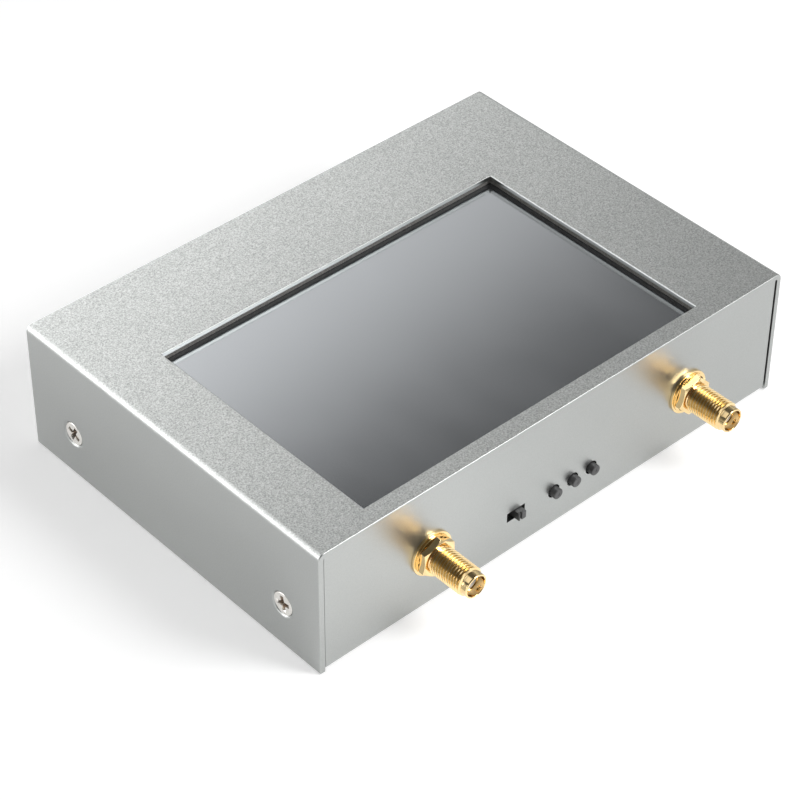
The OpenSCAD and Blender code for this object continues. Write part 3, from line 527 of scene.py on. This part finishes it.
def countersunk_screw(turn):
    """A screw whose sheet face is at zero"""
    screw = lathe([
        (0, -SCREW_LEN), (SHANK_R - SCREW_TIP, -SCREW_LEN), (SHANK_R, -SCREW_LEN + SCREW_TIP),
        (SHANK_R, -HEAD_LOW - HEAD_CONE), (HEAD_TOP_R, -HEAD_LOW - HEAD_RIM_LOW),
        (HEAD_TOP_R, -HEAD_LOW - HEAD_RIM_HIGH), (HEAD_TOP_R - HEAD_RIM_IN, -HEAD_LOW), (0, -HEAD_LOW),
    ])
    cut(screw, *[shifted(tool, z=-HEAD_LOW) for tool in recess_cutter()])
    rounded(screw, SCREW_ROUND)
    return turned(screw, turn)


def corner_name(x, y):
    return f"{'left' if x < 0 else 'right'}_{'front' if y < 0 else 'rear'}"


def side_screws(material):
    turns = (12, -27, 34, 71)
    for turn, (side, y, z) in zip(turns, side_screw_places()):
        screw = moved(countersunk_screw(turn), on_side(side, y, z))
        name = f"side_screw_{corner_name(side, y)}"
        finished(screw, name, material, "plated_steel", "case", "case_screws")


def bottom_screws(material):
    turns = (5, 48, -19, 63)
    for turn, (x, y) in zip(turns, base_screw_places()):
        screw = moved(countersunk_screw(turn), on_bottom(x, y))
        name = f"base_screw_{corner_name(x, y)}"
        finished(screw, name, material, "plated_steel", "case", "base_screws")


# Connectors


def port_x(port):
    return middle(f"sma_body_{port}").x


def thread_ridge():
    """One ridge round the barrel, fading in and out at its ends"""
    widths = (0, 0.38, 0.62, 1)
    heights = (-THREAD_SUNK, THREAD_DEPTH, THREAD_DEPTH, -THREAD_SUNK)
    root = CREST_R - THREAD_DEPTH
    rings = []
    for i in range(THREAD_TURNS * THREAD_STEPS + 1):
        turns = i / THREAD_STEPS
        start = THREAD_LEAST + turns / THREAD_LEAD
        stop = THREAD_LEAST + (THREAD_TURNS - turns) / THREAD_LEAD
        ease = min(1, start, stop)
        angle = 2 * math.pi * turns
        ring = []
        for width, height in zip(widths, heights):
            radius = root + (height if height < 0 else (height + THREAD_SUNK) * ease - THREAD_SUNK)
            z = THREAD_FROM + (turns + (width - 0.5) * RIDGE_W) * THREAD_STEP
            ring.append((radius * math.cos(angle), radius * math.sin(angle), z))
        rings.append(ring)
    return shape(rings)


def port_barrel():
    """The turned body: a plain part under the nut, the thread's root, the neck and the socket's bore"""
    root = CREST_R - THREAD_DEPTH
    thread_to = THREAD_FROM + THREAD_TURNS * THREAD_STEP
    inner = TIP_AT - SOCKET_DEPTH
    profile = [
        (INSULATOR_R, FLANGE_BACK),
        (MESH_R, FLANGE_BACK),
        (MESH_R, THREAD_FROM - THREAD_STEP / 2),
        (root, THREAD_FROM - THREAD_STEP / 4),
        (root, thread_to + THREAD_STEP / 4),
        (NECK_R, thread_to + THREAD_STEP / 2),
    ]
    profile += arc((NECK_R - TIP_ROUND, TIP_AT - TIP_ROUND), TIP_ROUND, 0, 90, steps=4)
    profile += [(SOCKET_R + SOCKET_LIP, TIP_AT), (SOCKET_R, TIP_AT - SOCKET_LIP)]
    profile += [(SOCKET_R, inner), (INSULATOR_R, inner)]
    return lathe(profile, steps=96, closed=True)


def port_leg(side, low):
    """One of the four legs, from its lower face"""
    x = side * (FLANGE[0] - LEG[0]) / 2
    corner = (x - LEG[0] / 2, low, FLANGE_BACK - LEG[2])
    return block(corner, (x + LEG[0] / 2, low + LEG[1], FLANGE_BACK + LEG_SUNK))


def port_body():
    """Barrel, thread, flange and the four legs that hold the edge of the main board"""
    barrel = united(port_barrel(), thread_ridge())
    flange = slab(FLANGE[0], FLANGE[1], FLANGE_BACK, -SHEET_T)
    cut(flange, disc((INSULATOR_R + MESH_R) / 2, FLANGE_BACK - OVER, OVER))
    united(barrel, flange)
    board_low, board_high = box_mm("main_board")
    for side in (-1, 1):
        for low in (board_high.z - port_z, board_low.z - port_z - LEG[1]):
            united(barrel, port_leg(side, low))
    return barrel


def port_contact():
    """The centre contact: a slotted tube in front and a solder tail behind"""
    front = TIP_AT - SOCKET_DEPTH
    tail = FLANGE_BACK - TAIL_LEN
    contact = lathe([
        (0, tail), (TAIL_R - CONTACT_LIP, tail), (TAIL_R, tail + CONTACT_LIP), (TAIL_R, FLANGE_BACK),
        (CONTACT_R, FLANGE_BACK), (CONTACT_R, front - CONTACT_LIP / 2), (CONTACT_R - CONTACT_LIP / 2, front),
        (CONTACT_BORE_R + CONTACT_LIP / 2, front), (CONTACT_BORE_R, front - CONTACT_LIP / 2),
        (CONTACT_BORE_R, front - CONTACT_BORE_DEPTH), (0, front - CONTACT_BORE_DEPTH),
    ], steps=32)
    slots = []
    for turn in (45, 135):
        slot = slab(2 * CONTACT_R + OVER, CONTACT_SLOT_W, front - CONTACT_SLOT_LEN, front + OVER)
        slots.append(turned(slot, turn))
    return cut(contact, *slots)


def port_insulator():
    front = TIP_AT - SOCKET_DEPTH
    inner = CONTACT_R + INSULATOR_GAP
    outer = INSULATOR_R - INSULATOR_GAP
    return lathe([
        (inner, FLANGE_BACK), (outer, FLANGE_BACK), (outer, front - INSULATOR_LIP),
        (outer - INSULATOR_LIP, front), (inner + INSULATOR_LIP, front), (inner, front - INSULATOR_LIP),
    ], closed=True)


def flat_washer():
    return rounded(tube(WASHER_BORE_R, FLAT_WASHER_R, 0, FLAT_WASHER_T), FLAT_WASHER_ROUND)


def lock_washer():
    """A ring whose inner teeth are twisted, so that each bites with one edge"""
    half = LOCK_WASHER_T / 2
    middle_z = FLAT_WASHER_T + half
    ring_half = half * LOCK_RING_SHARE
    tooth_half = ring_half * TOOTH_T_SHARE
    ring = tube(WASHER_BORE_R + TOOTH_LEN, LOCK_WASHER_R, middle_z - ring_half, middle_z + ring_half)
    teeth = []
    for i in range(TEETH):
        tooth = block((0, -TOOTH_W / 2, -tooth_half), (TOOTH_LEN + TOOTH_SUNK, TOOTH_W / 2, tooth_half))
        turned(tooth, TOOTH_TWIST, "X")
        shifted(tooth, x=WASHER_BORE_R + TOOTH_GAP, z=middle_z)
        teeth.append(turned(tooth, 360 * i / TEETH))
    united(ring, *teeth)
    return rounded(ring, LOCK_WASHER_ROUND)


def port_nut(turn):
    """A hexagonal nut, its corners turned off on the outer face and eased on the inner one"""
    corner = NUT_AF / 2 / math.cos(math.radians(30))
    low = FLAT_WASHER_T + LOCK_WASHER_T
    high = low + NUT_T
    corners = [math.radians(degrees) for degrees in range(0, 360, 60)]
    nut = prism([(corner * math.cos(a), corner * math.sin(a)) for a in corners], low, high)
    slope = NUT_CHAMFER / math.tan(math.radians(30))
    common(nut, lathe([
        (0, low), (corner - slope * NUT_BACK_SHARE, low), (corner, low + NUT_CHAMFER * NUT_BACK_SHARE),
        (corner, high - NUT_CHAMFER), (corner - slope, high), (0, high),
    ], steps=96))
    cut(nut, lathe([
        (0, low - OVER), (NUT_BORE_R, low - OVER), (NUT_BORE_R, high - NUT_MOUTH_DEPTH),
        (NUT_MOUTH_R, high + NUT_MOUTH_OVER), (NUT_MOUTH_R, high + OVER), (0, high + OVER),
    ]))
    rounded(nut, NUT_ROUND, angle=NUT_ANGLE)
    return turned(nut, turn)


def connectors(gold, white):
    """Both connectors, each with its body, insulator, contact, washers and nut"""
    nut_turns = {"left": 24, "right": 14}
    washer_turns = {"left": 8, "right": 13}
    for port in PORTS:
        pieces = {
            "body": (port_body(), f"sma_body_{port}"),
            "insulator": (port_insulator(), "sma_insulators"),
            "contact": (port_contact(), "sma_contacts"),
            "flat_washer": (flat_washer(), "sma_flat_washers"),
            "lock_washer": (turned(lock_washer(), washer_turns[port]), "sma_lock_washers"),
            "nut": (port_nut(nut_turns[port]), "sma_nuts"),
        }
        for word, (obj, node) in pieces.items():
            material, slot = (white, "white_plastic") if word == "insulator" else (gold, "gold_plate")
            moved(obj, on_front(port_x(port), port_z))
            finished(obj, f"{port}_port_{word}", material, slot, "case", node)


# Controls


lever_low, lever_high = box_mm("power_switch_lever")
lever_x = (lever_low.x + lever_high.x) / 2
slot_x = lever_x + SLOT_FROM_LEVER
slot_z = (lever_low.z + lever_high.z) / 2


def button_place(button):
    centre = middle(f"button_stem_{button}")
    return on_front(centre.x, centre.z)


def switch_lever(material):
    """The slider behind the panel and its lever, with one groove across the end"""
    slider_w = lever_high.x - lever_low.x
    slider_h = lever_high.z - lever_low.z
    reach = FRONT_Y - lever_low.y
    back = FRONT_Y - lever_high.y
    slider = rounded(slab(slider_w, slider_h, back, -SLIDER_FRONT), SLIDER_ROUND)
    lever = slab(LEVER_W, LEVER_H, -SLIDER_FRONT - LEVER_SUNK, reach)
    groove = block((GROOVE_X - GROOVE_W / 2, -OVER - LEVER_H, reach - GROOVE_DEPTH),
                   (GROOVE_X + GROOVE_W / 2, OVER + LEVER_H, reach + OVER))
    cut(lever, groove)
    rounded(lever, LEVER_ROUND, steps=3)
    united(slider, shifted(lever, y=-LEVER_DROP))
    place = on_front(lever_x, slot_z)
    finished(moved(slider, place), "switch_lever_knob", material, "black_plastic", "switch_lever",
             "power_switch_lever")


def button_stem():
    """Nose and collar inside the case, and the round stem with a small square mark on its end"""
    reach = FRONT_Y - box_mm("button_stem_left")[0].y
    back = -COLLAR_FRONT - COLLAR_T
    profile = [
        (0, back - NOSE_LEN), (NOSE_R, back - NOSE_LEN), (NOSE_R, back), (COLLAR_R, back),
        (COLLAR_R, -COLLAR_FRONT), (BUTTON_R, -COLLAR_FRONT),
    ]
    profile += arc((BUTTON_R - BUTTON_ROUND, reach - BUTTON_ROUND), BUTTON_ROUND, 0, 90, steps=5)
    profile.append((0, reach))
    stem = lathe(profile)
    cut(stem, slab(BUTTON_MARK, BUTTON_MARK, reach - BUTTON_MARK_DEPTH, reach + OVER))
    return stem


def button_stems(material):
    for button in BUTTONS:
        stem = moved(button_stem(), button_place(button))
        finished(stem, f"{button}_button_key", material, "black_plastic", f"{button}_button",
                 f"button_stem_{button}")


# Materials


SHEET_TONE = (0.44, 0.452, 0.443)
# How far the sheet's grain speckle, partly painted glints, strays from its tone
SHEET_GRAIN_AND_GLINT = 0.34


class Nodes:
    """A node tree, with short ways to add to it"""

    def __init__(self, tree):
        self.tree = tree

    def add(self, kind, **settings):
        node = self.tree.nodes.new(f"ShaderNode{kind}")
        for name, value in settings.items():
            setattr(node, name, value)
        return node

    def feed(self, node, socket, value):
        """Sets an input of a node, or links another node's output to it"""
        if isinstance(value, bpy.types.NodeSocket):
            self.tree.links.new(value, node.inputs[socket])
        else:
            node.inputs[socket].default_value = value

    def maths(self, operation, *values):
        node = self.add("Math", operation=operation)
        for index, value in enumerate(values):
            self.feed(node, index, value)
        return node.outputs[0]

    def part_of(self, vector, axis):
        node = self.add("SeparateXYZ")
        self.feed(node, "Vector", vector)
        return node.outputs[axis]

    def between(self, value, low, high, start=0.3, stop=0.7, curve="LINEAR"):
        """A number that goes from low to high as a value goes from start to stop"""
        node = self.add("MapRange", interpolation_type=curve)
        self.feed(node, "Value", value)
        for socket, number in (("From Min", start), ("From Max", stop), ("To Min", low), ("To Max", high)):
            self.feed(node, socket, number)
        return node.outputs["Result"]

    def not_lighting(self):
        """1 for what the camera, metal and glass see, and 0 for what lights the object"""
        ray = self.add("LightPath").outputs
        mirrored = self.maths("MAXIMUM", ray["Is Glossy Ray"], ray["Is Transmission Ray"])
        return self.maths("MAXIMUM", mirrored, ray["Is Camera Ray"])


class Finish(Nodes):
    """A material in the making: a principled shader and what feeds it. Sizes are in millimetres."""

    def __init__(self, name, **sockets):
        self.material = bpy.data.materials.new(name)
        self.material.use_nodes = True
        super().__init__(self.material.node_tree)
        self.shader = self.tree.nodes["Principled BSDF"]
        for socket, value in sockets.items():
            self.shader.inputs[socket.replace("_", " ")].default_value = value
        self.place = self.add("TexCoord").outputs["Object"]

    def facing_up(self):
        """The upward part of the surface's direction"""
        return self.part_of(self.add("NewGeometry").outputs["True Normal"], "Z")

    def stretched(self, x=1, y=1, z=1):
        """The place with each axis scaled, for grain that runs one way"""
        node = self.add("Mapping")
        self.feed(node, "Vector", self.place)
        self.feed(node, "Scale", (x, y, z))
        return node.outputs["Vector"]

    def noise(self, size, detail=2, place=None):
        """Clouds or grain of a size"""
        node = self.add("TexNoise")
        self.feed(node, "Vector", place or self.place)
        self.feed(node, "Scale", 1 / (size * MM))
        self.feed(node, "Detail", detail)
        return node.outputs["Fac"]

    def cells(self, size, feature="F1"):
        node = self.add("TexVoronoi", feature=feature)
        self.feed(node, "Vector", self.place)
        self.feed(node, "Scale", 1 / (size * MM))
        return node.outputs["Distance"]

    def colours(self, value, *stops):
        """A colour from a ramp; each stop is a position and a colour"""
        node = self.add("ValToRGB")
        self.feed(node, "Fac", value)
        elements = node.color_ramp.elements
        while len(elements) < len(stops):
            elements.new(0.5)
        for element, (position, colour) in zip(elements, stops):
            element.position = position
            element.color = (*colour, 1)
        return node.outputs["Color"]

    def blended(self, factor, first, second, mode="MIX"):
        node = self.add("Mix", data_type="RGBA", blend_type=mode)
        for index, value in ((0, factor), (6, first), (7, second)):
            self.feed(node, index, value)
        return node.outputs[2]

    def relief(self, height, depth):
        """Bumps of a depth"""
        node = self.add("Bump")
        self.feed(node, "Height", height)
        self.feed(node, "Distance", depth * MM)
        self.feed(node, "Strength", 1)
        return node.outputs["Normal"]

    def done(self, colour, roughness=None, normal=None):
        self.feed(self.shader, "Base Color", colour)
        if roughness:
            self.feed(self.shader, "Roughness", roughness)
        if normal:
            self.feed(self.shader, "Normal", normal)
        return self.material


def shaded(colour, factor):
    """The same colour, darker or lighter"""
    return tuple(min(1, part * factor) for part in colour)


def blasted_aluminium():
    """Bead-blasted, clear anodised sheet: a silver grey, with a coarse grain on its top face, whose light and
    dark colour speckle is partly painted glints
    """
    finish = Finish("case_sheet", Metallic=1)
    fine = finish.noise(0.3, detail=3)
    broad = finish.noise(26)
    # Painted glints: the grain's light and dark colour speckle is strongest on faces turned up and weaker on
    # the walls; its roughness and bumps follow the same share
    strength = finish.between(finish.facing_up(), 0.12, 1, 0.3, 0.95)
    grain_and_glints = finish.maths("MULTIPLY_ADD", finish.maths("SUBTRACT", fine, 0.5), strength, 0.5)
    dark = shaded(SHEET_TONE, 1 - SHEET_GRAIN_AND_GLINT)
    light = shaded(SHEET_TONE, 1 + SHEET_GRAIN_AND_GLINT)
    speckled = finish.colours(grain_and_glints, (0.3, dark), (0.7, light))
    clouded = finish.colours(broad, (0.35, (0.97, 0.97, 0.97)), (0.65, (1, 1, 1)))
    colour = finish.blended(1.0, speckled, clouded, "MULTIPLY")
    roughness = finish.between(grain_and_glints, 0.4, 0.3)
    return finish.done(colour, roughness, finish.relief(grain_and_glints, 0.08 * SHEET_GRAIN_AND_GLINT))


def gold_plate():
    """Turned brass under gold: soft rings round the axis and slightly uneven colour"""
    finish = Finish("gold_plate", Metallic=1)
    rings = finish.noise(0.12, detail=2, place=finish.stretched(0.15, 1, 0.15))
    patches = finish.noise(1.6, detail=3)
    colour = finish.colours(patches, (0.3, (0.88, 0.65, 0.32)), (0.7, (0.94, 0.72, 0.39)))
    roughness = finish.between(patches, 0.1, 0.16)
    return finish.done(colour, roughness, finish.relief(rings, 0.002))


def plated_steel():
    finish = Finish("plated_steel", Metallic=1)
    scratches = finish.noise(0.16, detail=4, place=finish.stretched(1, 0.25, 1))
    colour = finish.colours(scratches, (0.3, (0.60, 0.59, 0.57)), (0.7, (0.76, 0.75, 0.73)))
    roughness = finish.between(scratches, 0.22, 0.34)
    return finish.done(colour, roughness, finish.relief(scratches, 0.004))


def screw_steel():
    """The same plating on the case's screws, with painted shade, a dark brown, down in their recesses"""
    finish = Finish("screw_steel", Metallic=1)
    scratches = finish.noise(0.16, detail=4)
    sideways = finish.maths("ABSOLUTE", finish.part_of(finish.place, "X"))
    from_wall = finish.maths("SUBTRACT", cover_high.x * MM, sideways)
    inside = finish.maths("MINIMUM", from_wall, finish.part_of(finish.place, "Z"))
    # Painted shade: the plating fades to dark brown from 0.3 to 0.75 mm in from the case's outer face
    recess_shade = finish.between(inside, 0, 1, 0.3 * MM, 0.75 * MM)
    bright = finish.colours(scratches, (0.3, (0.80, 0.77, 0.72)), (0.7, (0.95, 0.93, 0.89)))
    colour = finish.blended(recess_shade, bright, (0.42, 0.36, 0.31, 1))
    return finish.done(colour, finish.between(scratches, 0.26, 0.4), finish.relief(scratches, 0.004))


def plain_brass():
    finish = Finish("plain_brass", Metallic=1)
    tarnish = finish.noise(1.2, detail=4)
    colour = finish.colours(tarnish, (0.3, (0.62, 0.43, 0.18)), (0.7, (0.78, 0.58, 0.27)))
    return finish.done(colour, finish.between(tarnish, 0.42, 0.26), finish.relief(tarnish, 0.01))


def screen_glass():
    """The touch film over the dark display: a blue-grey satin mirror"""
    finish = Finish("screen_glass", Metallic=0.9, Coat_Weight=0.3, Coat_Roughness=0.08)
    texture = finish.noise(0.12, detail=1)
    smears = finish.noise(18, detail=2, place=finish.stretched(1, 0.6, 1))
    colour = finish.colours(smears, (0.35, (0.24, 0.25, 0.26)), (0.65, (0.25, 0.26, 0.27)))
    roughness = finish.between(smears, 0.12, 0.15)
    return finish.done(colour, roughness, finish.relief(texture, 0.0006))


def display_glass():
    finish = Finish("display_glass", Roughness=0.15)
    film = finish.noise(3, detail=2)
    colour = finish.colours(film, (0.3, (0.03, 0.032, 0.036)), (0.7, (0.045, 0.047, 0.052)))
    return finish.done(colour, finish.between(film, 0.12, 0.2))


def grey_foam():
    """Cellular foam strip"""
    finish = Finish("grey_foam", Roughness=0.9, Sheen_Weight=0.2)
    pores = finish.cells(0.28)
    tint = finish.noise(1.5)
    colour = finish.colours(pores, (0.1, (0.08, 0.078, 0.074)), (0.5, (0.19, 0.185, 0.172)),
                            (0.9, (0.26, 0.252, 0.235)))
    shade = finish.colours(tint, (0.3, (0.85, 0.85, 0.85)), (0.7, (1, 1, 1)))
    return finish.done(finish.blended(1.0, colour, shade, "MULTIPLY"), normal=finish.relief(pores, 0.08))


def moulded(name, colour, roughness=0.45, spread=0.12):
    """Moulded plastic with a faint spark-eroded texture"""
    finish = Finish(name)
    texture = finish.noise(0.3, detail=3)
    cloud = finish.noise(4)
    tone = finish.colours(cloud, (0.3, shaded(colour, 1 - spread)), (0.7, shaded(colour, 1 + spread)))
    gloss = finish.between(texture, roughness - 0.06, roughness + 0.06)
    return finish.done(tone, gloss, finish.relief(texture, 0.012))


def board_mask():
    """Solder mask: traces and a copper pour under green lacquer"""
    finish = Finish("board", Roughness=0.32, Coat_Weight=0.2)
    traces = finish.cells(2.1, feature="DISTANCE_TO_EDGE")
    weave = finish.noise(0.35, detail=2)
    lines = finish.colours(traces, (0.03, (0.02, 0.15, 0.06)), (0.05, (0.01, 0.075, 0.03)),
                           (0.09, (0.01, 0.075, 0.03)), (0.11, (0.016, 0.12, 0.05)))
    tint = finish.colours(weave, (0.3, (0.86, 0.86, 0.86)), (0.7, (1, 1, 1)))
    height = finish.between(traces, 1, 0, 0.03, 0.05)
    return finish.done(finish.blended(1.0, lines, tint, "MULTIPLY"), finish.between(weave, 0.28, 0.38),
                       finish.relief(height, 0.03))


def ribbon_film():
    """Polyimide film with its conductors showing through"""
    finish = Finish("ribbon_film", Roughness=0.3, Coat_Weight=0.3)
    lines = finish.noise(0.8, detail=0, place=finish.stretched(0.05, 1, 0.05))
    colour = finish.colours(lines, (0.45, (0.46, 0.2, 0.03)), (0.55, (0.6, 0.32, 0.07)))
    return finish.done(colour, finish.between(lines, 0.24, 0.36), finish.relief(lines, 0.01))


def paper_tape():
    finish = Finish("white_tape", Roughness=0.8)
    fibres = finish.noise(0.4, detail=4, place=finish.stretched(1, 0.3, 1))
    colour = finish.colours(fibres, (0.3, (0.7, 0.7, 0.66)), (0.7, (0.82, 0.82, 0.78)))
    return finish.done(colour, finish.between(fibres, 0.7, 0.9), finish.relief(fibres, 0.02))


def pouch_foil():
    """The laminated foil of the cell, slightly crumpled"""
    finish = Finish("foil", Metallic=1)
    creases = finish.noise(5, detail=5)
    colour = finish.colours(creases, (0.3, (0.55, 0.56, 0.58)), (0.7, (0.72, 0.73, 0.75)))
    return finish.done(colour, finish.between(creases, 0.25, 0.42), finish.relief(creases, 0.25))


def fired_ceramic():
    finish = Finish("passive_body", Roughness=0.5)
    speckle = finish.noise(0.2, detail=3)
    colour = finish.colours(speckle, (0.3, (0.28, 0.2, 0.12)), (0.7, (0.42, 0.31, 0.19)))
    return finish.done(colour, finish.between(speckle, 0.4, 0.6), finish.relief(speckle, 0.01))


def finishes():
    """Each of the record's material slots with its material"""
    return {
        "case_sheet": blasted_aluminium(),
        "plated_steel": plated_steel(),
        "plain_brass": plain_brass(),
        "gold_plate": gold_plate(),
        "board": board_mask(),
        "grey_foam": grey_foam(),
        "white_tape": paper_tape(),
        "screen_glass": screen_glass(),
        "display_glass": display_glass(),
        "white_plastic": moulded("white_plastic", (0.78, 0.77, 0.74), 0.4, 0.03),
        "cream_plastic": moulded("cream_plastic", (0.66, 0.62, 0.5), 0.45, 0.05),
        "black_plastic": moulded("black_plastic", (0.06, 0.06, 0.061), 0.36, 0.2),
        "grey_plastic": moulded("grey_plastic", (0.1, 0.1, 0.105), 0.45, 0.15),
        "ribbon_film": ribbon_film(),
        "red_lead": moulded("red_lead", (0.45, 0.02, 0.015), 0.35, 0.1),
        "foil": pouch_foil(),
        "passive_body": fired_ceramic(),
    }


def dress_cad_nodes(materials):
    """Gives every CAD node the material of its slot in the record"""
    for part in frame["record"]["subparts"]:
        mesh = frame["nodes"][part["node"]].data
        mesh.materials.clear()
        mesh.materials.append(materials[part["material_slot"]])


# Studio


WORLD_LIGHT = 0.65
KEY_TOWARDS = (0.365, -0.644, 0.673)
KEY_AWAY = 0.95
KEY_SIZE = 0.38
KEY_POWER = 5
KEY_TARGET = (0, 0, 0.015)

# The room that metal and glass mirror. A fade is where it starts and stops along an axis, and the two levels.
RIGHT = (1, 0, 0)
BACK = (0, 1, 0)
UP = (0, 0, 1)
WALL_TOP = 48.4
WALL_FADE = (-0.05, 0.05, 0, 3.6)
WALL_RIGHT_FADE = (0.2, 0.9, 1.25, 0.1)
HORIZON_UP_FADE = (0.12, 0.42, 1, 0)
HORIZON_FRONT_FADE = (-0.45, 0.05, 0.65, 1)
CEILING_FADE = (0.35, 0.75, 0.12, 0.312)
PANEL_LEFT_FADE = (-0.2, 0.05, 1.5, 0)
PANEL_BACK_FADE = (0.2, 0.5, 0, 1)
SECOND_TOWARDS = (0.72, -0.55, 0.42)
SECOND_FADE = (0.9, 0.97, 0, 2)

# The floor
FLOOR_HALF = 3
FLOOR_TONE = 0.8
FLOOR_GLOW = 0.38
# A painted pool of light: the floor glows more in front of the object, towards the left, where the connector
# panel mirrors it
FRONT_LIGHT_POOL = 0.28
LIGHT_POOL_X = (0.045, -0.035)
LIGHT_POOL_Y = (-0.044, -0.062)


def towards(nodes, axis, fade):
    """A number that fades as the direction turns along an axis"""
    dot = nodes.add("VectorMath", operation="DOT_PRODUCT")
    nodes.feed(dot, 0, nodes.add("TexCoord").outputs["Generated"])
    nodes.feed(dot, 1, axis)
    start, stop, low, high = fade
    return nodes.between(dot.outputs["Value"], low, high, start, stop, "SMOOTHSTEP")


def mirrored_room(nodes):
    """A bright wall behind the object that ends at an angle, a darker ceiling, and two panels"""
    top = math.radians(WALL_TOP)
    wall = towards(nodes, (0, math.sin(top), -math.cos(top)), WALL_FADE)
    wall = nodes.maths("MULTIPLY", wall, towards(nodes, RIGHT, WALL_RIGHT_FADE))
    horizon = towards(nodes, UP, HORIZON_UP_FADE)
    horizon = nodes.maths("MULTIPLY", horizon, towards(nodes, BACK, HORIZON_FRONT_FADE))
    panel = towards(nodes, RIGHT, PANEL_LEFT_FADE)
    panel = nodes.maths("MULTIPLY", panel, towards(nodes, BACK, PANEL_BACK_FADE))
    level = towards(nodes, RIGHT, CEILING_FADE)
    for other in (horizon, panel, towards(nodes, SECOND_TOWARDS, SECOND_FADE), wall):
        level = nodes.maths("MAXIMUM", level, other)
    return level


def world_light():
    """Plain white light on the object, and the room for what mirrors it"""
    world = bpy.data.worlds.new("studio")
    bpy.context.scene.world = world
    world.use_nodes = True
    nodes = Nodes(world.node_tree)
    nodes.tree.nodes.clear()
    mixed = nodes.add("MixShader")
    nodes.feed(mixed, 0, nodes.not_lighting())
    for socket, strength in ((1, WORLD_LIGHT), (2, mirrored_room(nodes))):
        background = nodes.add("Background")
        nodes.feed(background, "Strength", strength)
        nodes.feed(mixed, socket, background.outputs[0])
    nodes.feed(nodes.add("OutputWorld"), "Surface", mixed.outputs[0])


def key_lamp():
    data = bpy.data.lights.new("key", "AREA")
    data.shape = "DISK"
    data.size = KEY_SIZE
    data.energy = KEY_POWER
    obj = bpy.data.objects.new("key", data)
    obj.location = [KEY_AWAY * part for part in KEY_TOWARDS]
    aim = Vector(KEY_TARGET) - obj.location
    obj.rotation_euler = aim.to_track_quat("-Z", "Y").to_euler()
    bpy.context.scene.collection.objects.link(obj)


def floor_glow(nodes):
    """How white the floor shows, with a painted pool of light a little more in front of the object, towards
    the left
    """
    place = nodes.add("TexCoord").outputs["Object"]
    level = FRONT_LIGHT_POOL
    for axis, (start, stop) in (("X", LIGHT_POOL_X), ("Y", LIGHT_POOL_Y)):
        level = nodes.between(nodes.part_of(place, axis), 0, level, start, stop, "SMOOTHSTEP")
    return nodes.maths("ADD", FLOOR_GLOW, level)


def studio_floor():
    """A pale floor that shows white where it is lit, and keeps the object's shadow"""
    half = FLOOR_HALF
    corners = [(-half, -half, 0), (half, -half, 0), (half, half, 0), (-half, half, 0)]
    mesh = bpy.data.meshes.new("floor")
    mesh.from_pydata(corners, [], [(0, 1, 2, 3)])
    obj = bpy.data.objects.new("floor", mesh)
    bpy.context.scene.collection.objects.link(obj)
    material = bpy.data.materials.new("floor")
    material.use_nodes = True
    nodes = Nodes(material.node_tree)
    shader = nodes.tree.nodes["Principled BSDF"]
    shader.inputs["Base Color"].default_value = (FLOOR_TONE, FLOOR_TONE, FLOOR_TONE, 1)
    shader.inputs["Roughness"].default_value = 0.9
    shader.inputs["Specular IOR Level"].default_value = 0.1
    shader.inputs["Emission Color"].default_value = (1, 1, 1, 1)
    glow = nodes.maths("MULTIPLY", nodes.not_lighting(), floor_glow(nodes))
    nodes.feed(shader, "Emission Strength", glow)
    mesh.materials.append(material)


def studio():
    world_light()
    key_lamp()
    studio_floor()


def camera():
    data = bpy.data.cameras.new("camera")
    data.lens = CAMERA_LENS
    data.sensor_width = CAMERA_SENSOR
    data.clip_start = CAMERA_NEAR
    obj = bpy.data.objects.new("camera", data)
    obj.location = CAMERA_PLACE
    obj.rotation_euler = Euler([math.radians(angle) for angle in CAMERA_TURN], "XYZ")
    bpy.context.scene.collection.objects.link(obj)
    bpy.context.scene.camera = obj


def main():
    bpy.context.scene.view_settings.view_transform = "Standard"
    camera()
    materials = finishes()
    dress_cad_nodes(materials)
    cover_sheet(materials["case_sheet"])
    chassis_sheet(materials["case_sheet"])
    screen_gasket(materials["grey_foam"])
    screws = screw_steel()
    side_screws(screws)
    bottom_screws(screws)
    connectors(materials["gold_plate"], materials["white_plastic"])
    switch_lever(materials["black_plastic"])
    button_stems(materials["black_plastic"])
    studio()


main()
